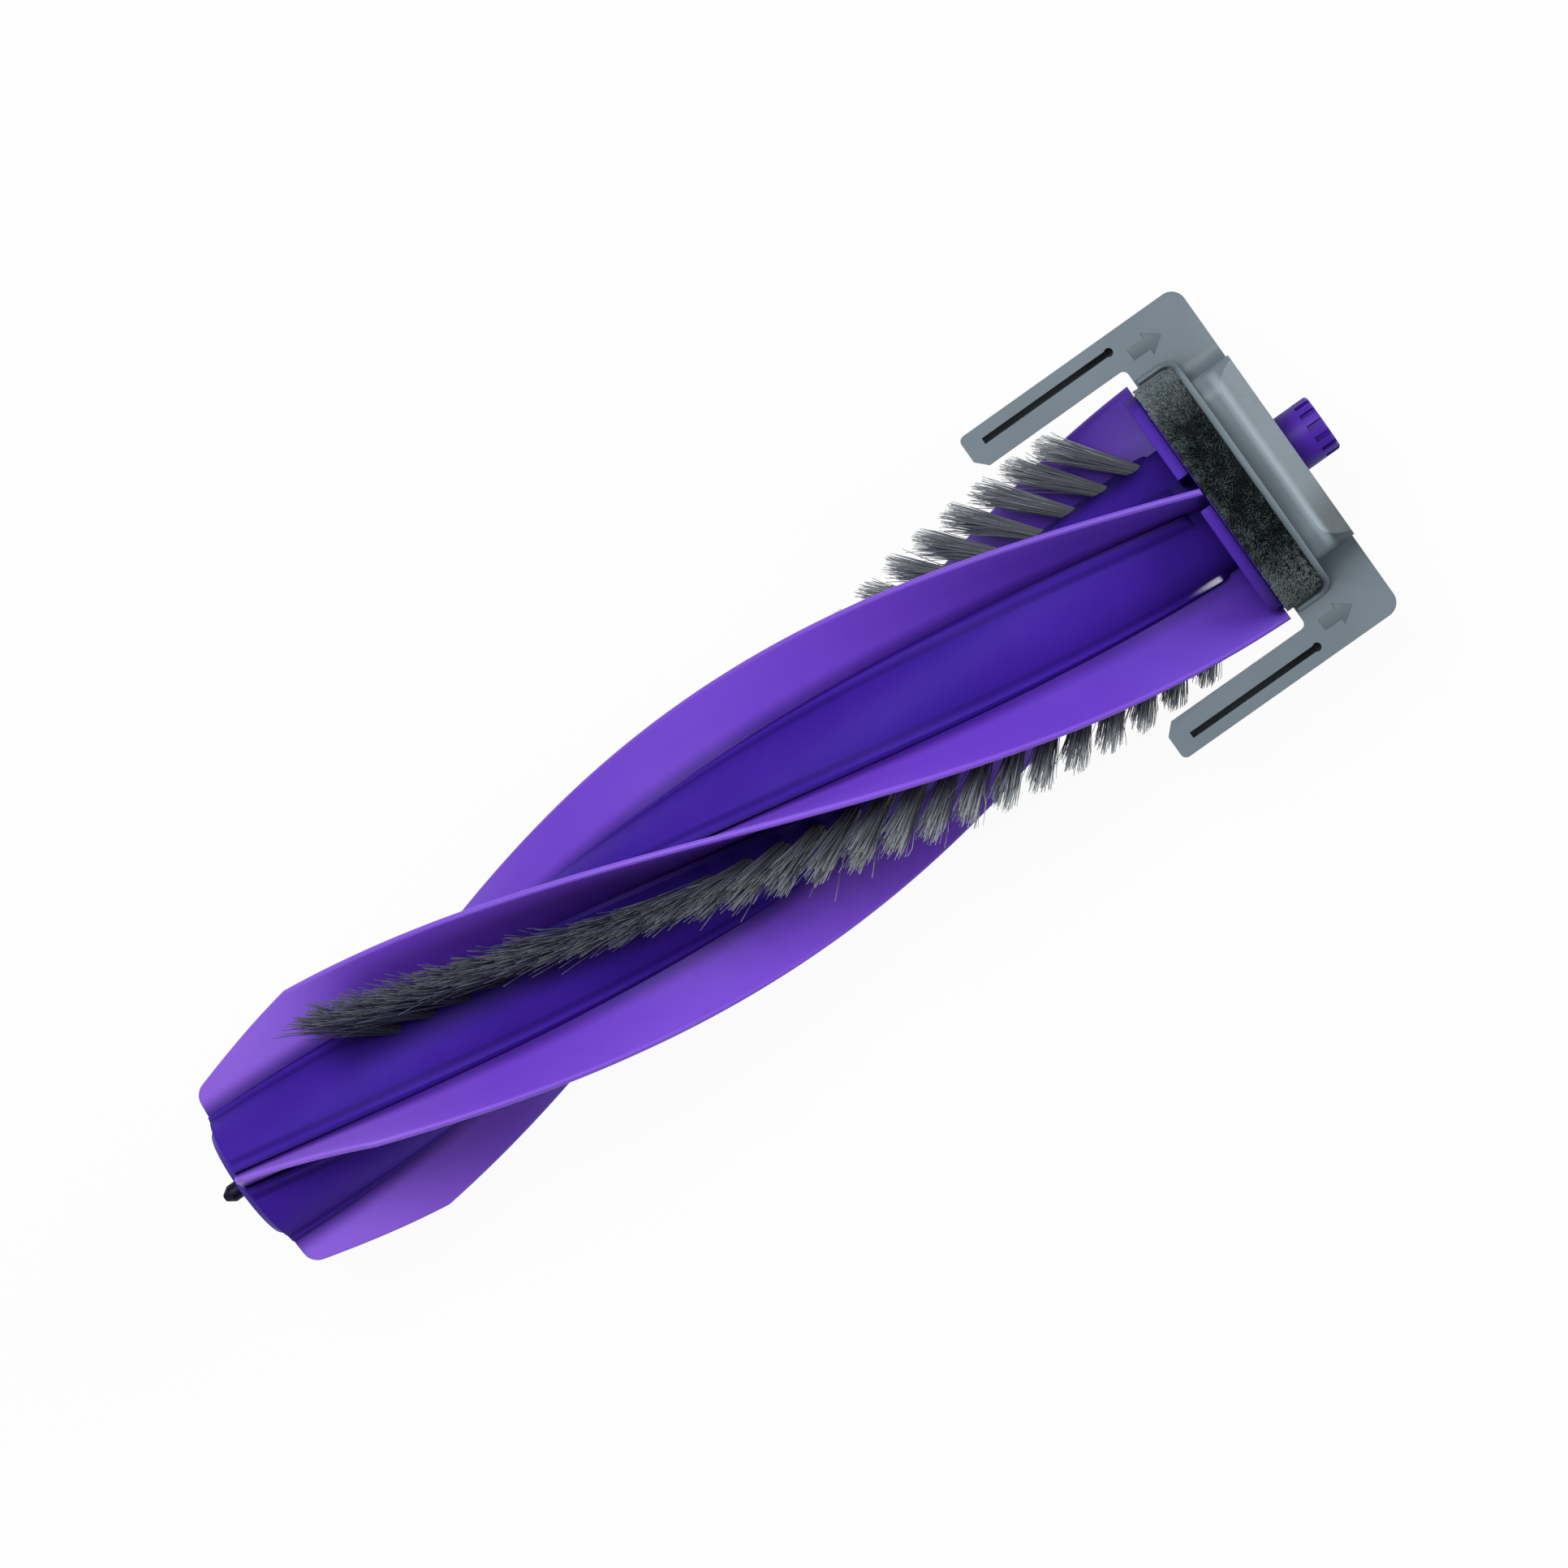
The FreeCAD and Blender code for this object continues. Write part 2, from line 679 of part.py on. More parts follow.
def make_bracket():
    """End bracket: wings and slotted arms, bearing hood, inner cup and a flat foot with recesses."""
    body = new_body("end_bracket")
    wings = new_sketch(body, "wings", "XY_Plane")
    half = size.bracket_half_width
    draw_outline(wings, [
        (bracket_outer, -half, size.wing_round),
        (bracket_outer, half, size.wing_round),
        (arm_tip, half, size.arm_round),
        (arm_tip, arm_inner + size.arm_notch),
        (arm_tip + size.arm_notch, arm_inner),
        (bracket_inner, arm_inner, size.arm_round),
        (bracket_inner, -arm_inner, size.arm_round),
        (arm_tip + size.arm_notch, -arm_inner),
        (arm_tip, -(arm_inner + size.arm_notch)),
        (arm_tip, -half, size.arm_round),
    ])
    extrude(body, "Pad", wings, "wing_plate", size.wing_thickness, symmetric=True)
    foot = new_sketch(body, "foot", "YZ_Plane", bracket_inner)
    draw_outline(foot, [
        (-size.foot_half_width, ZERO),
        (-size.foot_half_width, -foot_depth, size.foot_round),
        (size.foot_half_width, -foot_depth, size.foot_round),
        (size.foot_half_width, ZERO),
    ])
    extrude(body, "Pad", foot, "foot_block", size.bracket_depth)
    hood_start = rim_end - size.rim_width
    round_section(body, "rim", [
        (bracket_inner, ZERO),
        (rim_end, ZERO),
        (rim_end, pile_seat + size.rim_height),
        (hood_start, pile_seat + size.rim_height),
        (hood_start, pile_seat),
        (bracket_inner, pile_seat),
    ], step="rim_turning")
    hood = new_sketch(body, "hood", "YZ_Plane", hood_start)
    draw_outline(hood, [
        (-size.hood_half_width, ZERO),
        (size.hood_half_width, ZERO),
        (size.hood_half_width, size.hood_height, size.hood_round),
        (-size.hood_half_width, size.hood_height, size.hood_round),
    ])
    hood_end = bracket_outer + size.hood_reach
    extrude(body, "Pad", hood, "hood_block", hood_end - hood_start)
    slope = new_sketch(body, "slope", "XZ_Plane")
    slope_foot = size.hood_height - size.hood_slope_drop
    clear_top = size.hood_height + size.hood_slope_drop
    draw_outline(slope, [
        (hood_end - size.hood_slope_length, size.hood_height),
        (hood_end, slope_foot),
        (hood_end + size.hood_reach, slope_foot),
        (hood_end + size.hood_reach, clear_top),
        (hood_end - size.hood_slope_length, clear_top),
    ])
    extrude(body, "Pocket", slope, "slope_cut", half * 2, symmetric=True)
    round_section(body, "hollow", [
        (bracket_inner, ZERO),
        (hood_end, ZERO),
        (hood_end, size.ring_recess_radius),
        (bush_end, size.ring_recess_radius),
        (bush_end, size.bush_radius),
        (cup_floor, size.bush_radius),
        (cup_floor, size.cup_radius),
        (bracket_inner, size.cup_radius),
    ], "Groove", "hollow_turning")
    slot_start = arm_tip + size.slot_setback
    slot_end = slot_start + size.slot_length
    slot_line = half - size.slot_inset
    slot = new_sketch(body, "arm_slot", "XY_Plane", wing_top)
    draw_outline(slot, [
        (slot_start, slot_line - size.slot_width / 2),
        (slot_end, slot_line - size.slot_width / 2),
        (slot_end, slot_line + size.slot_width / 2),
        (slot_start, slot_line + size.slot_width / 2),
    ])
    slot_cut = extrude(body, "Pocket", slot, "arm_slot_cut", size.slot_depth)
    relief = new_sketch(body, "relief", "XY_Plane", wing_top)
    draw_circle(relief, slot_end, slot_line, size.slot_relief_radius)
    relief_cut = extrude(body, "Pocket", relief, "relief_cut", size.slot_depth)
    recess = new_sketch(body, "recess", "YZ_Plane", bracket_outer)
    side = size.foot_half_width - size.foot_wall
    bottom = size.foot_wall - foot_depth
    draw_outline(recess, [
        (size.foot_rib / 2, bottom),
        (side, bottom, size.foot_round - size.foot_wall),
        (side, -size.foot_recess_top),
        (size.boss_radius, -size.foot_recess_top),
        (size.foot_rib / 2, -size.boss_radius),
    ])
    recess_cut = extrude(body, "Pocket", recess, "recess_cut", size.foot_recess_depth)
    mirror_across(body, [slot_cut, relief_cut, recess_cut], "other_side")
    return body


def make_pile_strip():
    """Strip of dense pile that lies round the upper half of the bracket's inner rim."""
    body = new_body("pile_strip")
    section = new_sketch(body, "section", "XZ_Plane")
    seat = pile_seat + size.seat_clearance
    draw_outline(section, [
        (pile_start, seat),
        (pile_end, seat),
        (pile_end, size.pile_radius),
        (pile_start, size.pile_radius),
    ])
    revolve(body, "Revolution", section, "arch", size.pile_arc)
    return body


def check_and_write(pieces):
    """Stops on any failed object or bad shape, then writes one STEP file for each piece."""
    doc.recompute()
    for thing in doc.Objects:
        if "Invalid" in thing.State or "Error" in thing.State:
            raise RuntimeError(f"{thing.Name} did not build: {thing.State}")
    os.makedirs("parts", exist_ok=True)
    for piece in pieces:
        if piece.Shape.isNull() or not piece.Shape.isValid():
            raise RuntimeError(f"{piece.Label} has no valid shape")
    for piece in pieces:
        piece.Shape.exportStep(os.path.join("parts", f"{piece.Label}.step"))


tuft_rows, tuft_staples, tuft_holes = make_tuft_rows()
check_and_write([
    make_core(tuft_holes),
    *make_fins(),
    *tuft_rows,
    *tuft_staples,
    *make_idle_end(),
    make_drive_coupling(),
    *make_bearing(),
    make_bracket(),
    make_pile_strip(),
])
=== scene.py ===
"""Looks of a twisted roller brush and its end bracket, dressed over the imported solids.

X runs along the roller's axis from the idle pin to the drive stub, Z is up, and lengths are in metres.
Angles about the axis are counted from +Y towards +Z.
"""

import logging
import math
import random
from dataclasses import dataclass, field
from enum import Enum
from typing import Any, Iterable, Optional, Sequence, Union

import bmesh
import bpy
from mathutils import Matrix, Vector, noise


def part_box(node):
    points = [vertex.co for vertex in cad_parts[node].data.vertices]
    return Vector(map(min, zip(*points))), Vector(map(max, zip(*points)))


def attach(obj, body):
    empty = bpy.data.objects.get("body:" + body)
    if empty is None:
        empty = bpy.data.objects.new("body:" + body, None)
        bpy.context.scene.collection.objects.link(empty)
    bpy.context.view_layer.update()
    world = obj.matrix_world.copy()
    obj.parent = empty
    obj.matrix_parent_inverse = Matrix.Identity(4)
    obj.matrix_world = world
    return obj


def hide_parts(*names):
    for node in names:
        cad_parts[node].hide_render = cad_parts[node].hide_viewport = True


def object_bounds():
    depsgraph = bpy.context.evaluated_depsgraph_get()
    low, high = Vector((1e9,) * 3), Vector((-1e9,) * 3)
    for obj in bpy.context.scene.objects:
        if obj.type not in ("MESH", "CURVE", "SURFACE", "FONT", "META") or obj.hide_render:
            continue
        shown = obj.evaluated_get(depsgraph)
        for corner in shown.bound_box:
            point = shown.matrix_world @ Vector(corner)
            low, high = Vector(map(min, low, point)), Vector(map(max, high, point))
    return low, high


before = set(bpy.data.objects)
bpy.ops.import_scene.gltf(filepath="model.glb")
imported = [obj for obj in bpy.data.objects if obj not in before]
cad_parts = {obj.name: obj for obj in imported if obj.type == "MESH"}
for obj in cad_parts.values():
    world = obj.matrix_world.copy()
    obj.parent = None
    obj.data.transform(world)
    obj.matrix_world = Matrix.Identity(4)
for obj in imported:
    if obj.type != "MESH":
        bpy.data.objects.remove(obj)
CAD_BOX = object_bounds()

MM = 0.001
QUARTER = math.pi / 2
SMOOTH_ANGLE = math.radians(32)
WELD = 1e-6
AXIS = Vector((1, 0, 0))
HIGH = Vector((0, 0, 1))
ACROSS_AXIS = Matrix.Rotation(QUARTER, 4, "Y")
SEED = 7
STRAND_SHADE = "strand_shade"
WHITE = (1.0, 1.0, 1.0, 1.0)
MIX_FIRST, MIX_SECOND, MIX_RESULT = 6, 7, 2
CREASE_SAMPLES = 4
PATCH_DETAIL = 3.0
FIN_COUNT = 4
ROW_COUNT = 2
CORE_RADIUS = 10.2 * MM
TUFT_ANGLE = math.radians(27.0)
WING_TOP = 2.5 * MM

log = logging.getLogger("roller_brush")
Colour = tuple[float, float, float]
Span = tuple[float, float]
Setting = Union["Socket", float, Sequence[float]]
Sockets = dict[Union[str, int], Setting]
Edges = list[bmesh.types.BMEdge]


class Body(Enum):
    """The two bodies that pieces ride on."""

    BRACKET = "bracket"
    ROLLER = "roller"


class Slot(Enum):
    """The record's material slots that the pieces take."""

    CORE = "core_plastic"
    FIN = "fin_rubber"
    BRISTLE = "bristle"
    PIN = "pin_steel"
    BUSH = "bearing_bronze"
    WASHER = "washer_plastic"
    BRACKET = "bracket_plastic"
    PILE = "pile"


class Socket:
    """An output of a shader node that takes part in Python expressions."""

    def __init__(self, graph: "Graph", output: Optional[bpy.types.NodeSocket]) -> None:
        """Keeps the graph and the output, which is None for a node that ends the graph."""
        self.graph = graph
        self.output = output

    def __add__(self, other: Setting) -> "Socket":
        """This value plus another."""
        return self.graph.maths("ADD", self, other)

    def __radd__(self, other: Setting) -> "Socket":
        """Another value plus this one."""
        return self.graph.maths("ADD", other, self)

    def __sub__(self, other: Setting) -> "Socket":
        """This value less another."""
        return self.graph.maths("SUBTRACT", self, other)

    def __rsub__(self, other: Setting) -> "Socket":
        """Another value less this one."""
        return self.graph.maths("SUBTRACT", other, self)

    def __mul__(self, other: Setting) -> "Socket":
        """This value times another."""
        return self.graph.maths("MULTIPLY", self, other)

    def __rmul__(self, other: Setting) -> "Socket":
        """Another value times this one."""
        return self.graph.maths("MULTIPLY", other, self)

    def __pow__(self, other: Setting) -> "Socket":
        """This value to a power."""
        return self.graph.maths("POWER", self, other)

    def __rpow__(self, other: Setting) -> "Socket":
        """Another value to the power of this one."""
        return self.graph.maths("POWER", other, self)


class Graph:
    """The node tree of one material or of the world."""

    def __init__(self, owner: Union[bpy.types.Material, bpy.types.World]) -> None:
        """Empties the owner's node tree, ready for new nodes.

        Args:
            owner: The material or the world.
        """
        owner.use_nodes = True
        self.tree = owner.node_tree
        self.tree.nodes.clear()

    def node(self, kind: str, settings: Optional[dict[str, Any]] = None, inputs: Optional[Sockets] = None,
             output: Union[str, int] = 0) -> Socket:
        """Adds a node.

        Args:
            kind: The node's type.
            settings: Properties of the node, which are set first.
            inputs: Values or links of its sockets, by name or number.
            output: The output to give back, by name or number.

        Returns:
            The chosen output.
        """
        made = self.tree.nodes.new(kind)
        for name, value in (settings or {}).items():
            setattr(made, name, value)
        for key, value in (inputs or {}).items():
            if isinstance(value, Socket):
                self.tree.links.new(value.output, made.inputs[key])
            else:
                made.inputs[key].default_value = value
        return Socket(self, made.outputs[output] if len(made.outputs) else None)

    def maths(self, operation: str, *values: Setting) -> Socket:
        """Adds a Math node on one or two values."""
        return self.node("ShaderNodeMath", {"operation": operation}, dict(enumerate(values)))

    def place(self) -> Socket:
        """Object coordinates, which are the row frame's."""
        return self.node("ShaderNodeTexCoord", output="Object")

    def noise(self, where: Socket, scale: float, detail: float = 2.0, rough: float = 0.5) -> Socket:
        """Noise from 0 to 1 with grains of about 1 / scale metres."""
        return self.node("ShaderNodeTexNoise", None,
                         {"Vector": where, "Scale": scale, "Detail": detail, "Roughness": rough}, "Fac")

    def step(self, value: Socket, low: float, high: float) -> Socket:
        """A smooth step from 0 at low to 1 at high."""
        return self.node("ShaderNodeMapRange", {"interpolation_type": "SMOOTHSTEP"},
                         {"Value": value, "From Min": low, "From Max": high})

    def fall(self, value: Socket, low: float, high: float) -> Socket:
        """A smooth step from 1 at low to 0 at high."""
        return 1.0 - self.step(value, low, high)

    def patches(self, where: Socket, scale: float, span: Span = (0.3, 0.7)) -> Socket:
        """Mask of soft patches of about 1 / scale metres."""
        return self.step(self.noise(where, scale, PATCH_DETAIL), *span)

    def mix(self, share: Setting, first: Setting, second: Setting) -> Socket:
        """A mix of two colours."""
        ends = [(*colour, 1.0) if isinstance(colour, tuple) else colour for colour in (first, second)]
        return self.node("ShaderNodeMix", {"data_type": "RGBA"},
                         {0: share, MIX_FIRST: ends[0], MIX_SECOND: ends[1]}, MIX_RESULT)

    def spread(self, where: Socket) -> tuple[Socket, Socket, Socket]:
        """The three parts of a place."""
        parts = [self.node("ShaderNodeSeparateXYZ", None, {0: where}, axis) for axis in "XYZ"]
        return parts[0], parts[1], parts[2]

    def radius(self, where: Socket) -> Socket:
        """Distance from the roller's axis."""
        _, across, up = self.spread(where)
        return (across * across + up * up) ** 0.5

    def turning(self, where: Socket, helix: "Helix") -> tuple[Socket, Socket, Socket]:
        """Coordinates that turn with the fins.

        Args:
            where: Object coordinates.
            helix: The helix that the fins follow.

        Returns:
            The place along the axis, and the distances along and across the first fin's direction.
        """
        along, across, up = self.spread(where)
        angle = (along - helix.start) * helix.turn(1.0) + helix.phase
        sine, cosine = self.maths("SINE", angle), self.maths("COSINE", angle)
        return along, across * cosine + up * sine, up * cosine - across * sine

    def size(self, value: Socket) -> Socket:
        """A value without its sign."""
        return self.maths("ABSOLUTE", value)

    def least(self, first: Setting, second: Setting) -> Socket:
        """The smaller of two values."""
        return self.maths("MINIMUM", first, second)

    def openness(self, distance: float) -> Socket:
        """How open a place is, from 0 in a deep crease to 1; the finishes darken their colour by it, which is
        painted shade.
        """
        return self.node("ShaderNodeAmbientOcclusion", {"samples": CREASE_SAMPLES}, {"Distance": distance},
                         "AO")

    def strand(self) -> Socket:
        """The random number of a fibre, from 0 to 1."""
        return self.node("ShaderNodeAttribute", {"attribute_name": STRAND_SHADE}, None, "Fac")

    def bump(self, height: Socket, strength: float, depth: float) -> Socket:
        """A bump normal from a height."""
        return self.node("ShaderNodeBump", None,
                         {"Strength": strength, "Distance": depth, "Height": height})


def darker(colour: Colour, share: float) -> Colour:
    """A share of a colour."""
    red, green, blue = colour
    return share * red, share * green, share * blue


@dataclass(frozen=True, kw_only=True)
class Finish:
    """A finish: a colour of its own, and a grain that its roughness and its bumps follow."""

    name: str
    roughness: float
    swing: float
    specular: float = 0.5
    metallic: float = 0.0
    grain_scale: float
    grain_detail: float = 2.0
    grain_edge: float = 0.6
    relief: float = 0.0
    relief_depth: float = 0.02 * MM

    def grain(self, graph: Graph, where: Socket) -> Socket:
        """The grain, a noise from 0 to 1."""
        return graph.noise(where, self.grain_scale, self.grain_detail, self.grain_edge)

    def body(self, graph: Graph, where: Socket, grain: Socket) -> Socket:
        """The colour all over the surface, which each finish gives."""
        raise NotImplementedError

    def material(self) -> bpy.types.Material:
        """Builds the material.

        Returns:
            The new material.
        """
        made = bpy.data.materials.new(self.name)
        graph = Graph(made)
        where = graph.place()
        grain = self.grain(graph, where)
        sockets: Sockets = {
            "Base Color": self.body(graph, where, grain),
            "Metallic": self.metallic,
            "Roughness": (self.roughness - self.swing / 2) + self.swing * grain,
            "Specular IOR Level": self.specular,
        }
        if self.relief:
            sockets["Normal"] = graph.bump(grain, self.relief, self.relief_depth)
        shader = graph.node("ShaderNodeBsdfPrincipled", None, sockets)
        graph.node("ShaderNodeOutputMaterial", None, {"Surface": shader})
        return made


@dataclass(frozen=True, kw_only=True)
class MouldedPlastic(Finish):
    """Hard moulded plastic with a fine grain, soft patches of a second tone, and painted shade in its
    hollows.
    """

    colour: Colour
    shade: Colour
    swing: float = 0.16
    specular: float = 0.4
    grain_scale: float = 1800.0
    relief: float = 0.25
    patch_scale: float = 90.0
    painted_shade_share: float = 0.45
    painted_shade_reach: float = 7.0 * MM
    painted_shade_span: Span = (0.25, 0.85)

    def body(self, graph: Graph, where: Socket, grain: Socket) -> Socket:
        """The colour, with soft patches, and painted shade that darkens it in its hollows.

        Args:
            graph: The material's graph.
            where: Object coordinates.
            grain: The grain.

        Returns:
            The colour.
        """
        body = graph.mix(graph.patches(where, self.patch_scale), self.shade, self.colour)
        # Painted shade: the colour darkens where ambient occlusion finds a hollow.
        clear = graph.step(graph.openness(self.painted_shade_reach), *self.painted_shade_span)
        return graph.mix(clear, darker(self.shade, self.painted_shade_share), body)


@dataclass(frozen=True, kw_only=True)
class PaintedLightPlastic(MouldedPlastic):
    """Moulded plastic with a painted highlight along the hood's crest and painted shade on one end of its
    slope.
    """

    pale: Colour
    pale_share: float = 0.42
    crest: float = 177.1 * MM
    crest_half: float = 1.1 * MM
    crest_core: float = 0.15
    crest_span: Span = (9.5 * MM, 11.5 * MM)
    slope_span: Span = (4.0 * MM, 6.0 * MM)
    slope_shade_span: Span = (4.0 * MM, 11.5 * MM)
    slope_shade_share: float = 0.8
    slope_shade_depth: float = 0.3
    slope_shade_hides: float = 0.6

    def body(self, graph: Graph, where: Socket, grain: Socket) -> Socket:
        """The plain colour, painted shade on one end of the slope behind the crest, and a painted highlight
        on the crest.

        Args:
            graph: The material's graph.
            where: Object coordinates.
            grain: The grain.

        Returns:
            The colour.
        """
        along, across, up = graph.spread(where)
        away = graph.size(along - self.crest)
        near = graph.fall(away, self.crest_core * self.crest_half, self.crest_half)
        # Painted highlight: a pale band along the crest.
        crest_highlight = near * graph.step(up, *self.crest_span)
        behind = graph.step(along, self.crest, self.crest + self.crest_half)
        # Painted shade: the -Y end of the slope behind the crest is darkened.
        slope_shade = behind * graph.step(up, *self.slope_span) * graph.step(-1.0 * across, *self.slope_shade_span)
        plain = super().body(graph, where, grain)
        body = graph.mix(self.slope_shade_share * slope_shade, plain, darker(self.shade, self.slope_shade_depth))
        return graph.mix(self.pale_share * crest_highlight * (1.0 - self.slope_shade_hides * slope_shade), body, self.pale)


@dataclass(frozen=True, kw_only=True)
class CorePlastic(Finish):
    """Deep purple plastic of the core, with painted shade in its creases and along the tuft rows, and a
    painted glint on one lip's nose.
    """

    helix: "Helix"
    colour: Colour
    shade: Colour
    # The colour of painted shade in the creases, along the tuft rows and in the hollows.
    crease: Colour
    glint_colour: Colour
    flange_colour: Colour
    glint_end: float
    roughness: float = 0.55
    swing: float = 0.14
    specular: float = 0.08
    grain_scale: float = 2000.0
    relief: float = 0.2
    patch_scale: float = 60.0
    root_span: Span = (1.15 * MM, 1.95 * MM)
    crease_shade_reach: float = 12.0 * MM
    crease_shade_span: Span = (0.27, 0.92)
    lip_line: float = 2.95 * MM
    lip_line_span: Span = (0.14 * MM, 0.7 * MM)
    lip_line_shade_share: float = 0.5
    skin_low: Span = (8.8 * MM, 9.6 * MM)
    skin_high: Span = (11.0 * MM, 11.6 * MM)
    skin_start: Span = (0.1 * MM, 0.5 * MM)
    flange_share: float = 0.5
    tuft_angle: float = TUFT_ANGLE
    tuft_shadow_span: Span = (1.0 * MM, 5.5 * MM)
    tuft_shadow_start: Span = (18.0 * MM, 26.0 * MM)
    tuft_shadow_end: Span = (160.0 * MM, 163.0 * MM)
    tuft_shadow_share: float = 0.75
    glint_length: float = 8.0 * MM
    glint_line: float = -2.4 * MM
    glint_half: float = 0.55 * MM
    glint_taper: float = 0.8
    glint_core: float = 0.3
    glint_stop: float = 0.6 * MM
    glint_power: float = 3.0
    glint_side: Span = (0.0, 1.0 * MM)

    def skin(self, graph: Graph, where: Socket) -> Socket:
        """Mask of the core's round outside, without its end face and its flange.

        Args:
            graph: The material's graph.
            where: Object coordinates.

        Returns:
            The mask.
        """
        along, _, _ = graph.spread(where)
        radius = graph.radius(where)
        outside = graph.step(radius, *self.skin_low) * graph.fall(radius, *self.skin_high)
        return outside * graph.step(along - self.helix.start, *self.skin_start)

    def tuft_shadow(self, graph: Graph, where: Socket) -> Socket:
        """Mask of the painted shadow along the two tuft rows.

        Args:
            graph: The material's graph.
            where: Object coordinates.

        Returns:
            The mask.
        """
        along, up, across = graph.turning(where, self.helix)
        away = graph.size(across * math.cos(self.tuft_angle) - up * math.sin(self.tuft_angle))
        near = graph.fall(away, *self.tuft_shadow_span)
        return near * graph.step(along, *self.tuft_shadow_start) * graph.fall(along, *self.tuft_shadow_end)

    def painted_glint(self, graph: Graph, where: Socket) -> Socket:
        """Mask of a painted glint on one lip, a streak which widens and brightens towards the lip's end.

        Args:
            graph: The material's graph.
            where: Object coordinates.

        Returns:
            The mask.
        """
        along, up, across = graph.turning(where, self.helix)
        rise = graph.step(along, self.glint_end - self.glint_length, self.glint_end)
        away = graph.size(across - self.glint_line) + self.glint_taper * self.glint_half * (1.0 - rise)
        near = graph.fall(away, self.glint_core * self.glint_half, self.glint_half)
        stop = graph.fall(along, self.glint_end, self.glint_end + self.glint_stop)
        return near * stop * rise ** self.glint_power * graph.step(up, *self.glint_side)

    def body(self, graph: Graph, where: Socket, grain: Socket) -> Socket:
        """The colour, with the flange, painted shade in the creases and along the tuft rows, and a painted
        glint on the lip's nose laid over it.

        Args:
            graph: The material's graph.
            where: Object coordinates.
            grain: The grain.

        Returns:
            The colour.
        """
        _, up, across = graph.turning(where, self.helix)
        from_fin = graph.least(graph.size(up), graph.size(across))
        body = graph.mix(graph.patches(where, self.patch_scale), self.shade, self.colour)
        flange = graph.step(graph.radius(where), *self.skin_high)
        body = graph.mix(self.flange_share * flange, body, self.flange_colour)
        skin = self.skin(graph, where)
        # Painted shade in the crease beside each fin's root.
        body = graph.mix(skin * graph.fall(from_fin, *self.root_span), body, self.crease)
        # Painted shade along the foot of each lip.
        line = graph.fall(graph.size(from_fin - self.lip_line), *self.lip_line_span)
        body = graph.mix(self.lip_line_shade_share * skin * line, body, self.crease)
        # Painted shade in hollows, from ambient occlusion.
        clear = graph.step(graph.openness(self.crease_shade_reach), *self.crease_shade_span)
        body = graph.mix(clear, self.crease, body)
        # Painted shadow of the tufts along their rows.
        body = graph.mix(self.tuft_shadow_share * self.tuft_shadow(graph, where), body, self.crease)
        # Painted glint on the lip's nose.
        return graph.mix(self.painted_glint(graph, where), body, self.glint_colour)


@dataclass(frozen=True, kw_only=True)
class SoftRubber(Finish):
    """Soft rubber of the fins, whose colour carries painted light: a painted highlight on the tip, paler
    towards the idle end, and painted shade towards the drive end, at the root and in hollows.
    """

    idle_light_colour: Colour
    colour: Colour
    drive_shade_colour: Colour
    root_colour: Colour
    tip_colour: Colour
    roughness: float = 0.40
    swing: float = 0.12
    specular: float = 0.3
    grain_scale: float = 2600.0
    relief: float = 0.18
    root_span: Span = (10.8 * MM, 13.5 * MM)
    tip_span: Span = (19.3 * MM, 19.8 * MM)
    tip_share: float = 0.45
    idle_light_span: Span = (8.0 * MM, 44.0 * MM)
    drive_span: Span = (105.0 * MM, 155.0 * MM)
    cloud_scale: float = 45.0
    cloud_span: Span = (0.35, 0.75)
    cloud_share: float = 0.15
    painted_shade_reach: float = 9.0 * MM
    painted_shade_span: Span = (0.2, 0.85)

    def body(self, graph: Graph, where: Socket, grain: Socket) -> Socket:
        """The colour along the fin, with painted light towards the idle end, painted shade towards the drive
        end, at the root and in hollows, clouds, and a painted highlight on the tip.

        Args:
            graph: The material's graph.
            where: Object coordinates.
            grain: The grain.

        Returns:
            The colour.
        """
        along, _, _ = graph.spread(where)
        radius = graph.radius(where)
        # Painted light: paler towards the idle end, darker towards the drive end.
        body = graph.mix(graph.step(along, *self.idle_light_span), self.idle_light_colour, self.colour)
        body = graph.mix(graph.step(along, *self.drive_span), body, self.drive_shade_colour)
        # Painted shade at the root, where the fin meets the core.
        body = graph.mix(graph.step(radius, *self.root_span), self.root_colour, body)
        clouds = graph.patches(where, self.cloud_scale, self.cloud_span)
        body = graph.mix(self.cloud_share * clouds, body, self.tip_colour)
        # Painted shade in hollows, from ambient occlusion.
        clear = graph.step(graph.openness(self.painted_shade_reach), *self.painted_shade_span)
        body = graph.mix(clear, self.root_colour, body)
        # Painted highlight along the fin's tip.
        return graph.mix(self.tip_share * graph.step(radius, *self.tip_span), body, self.tip_colour)


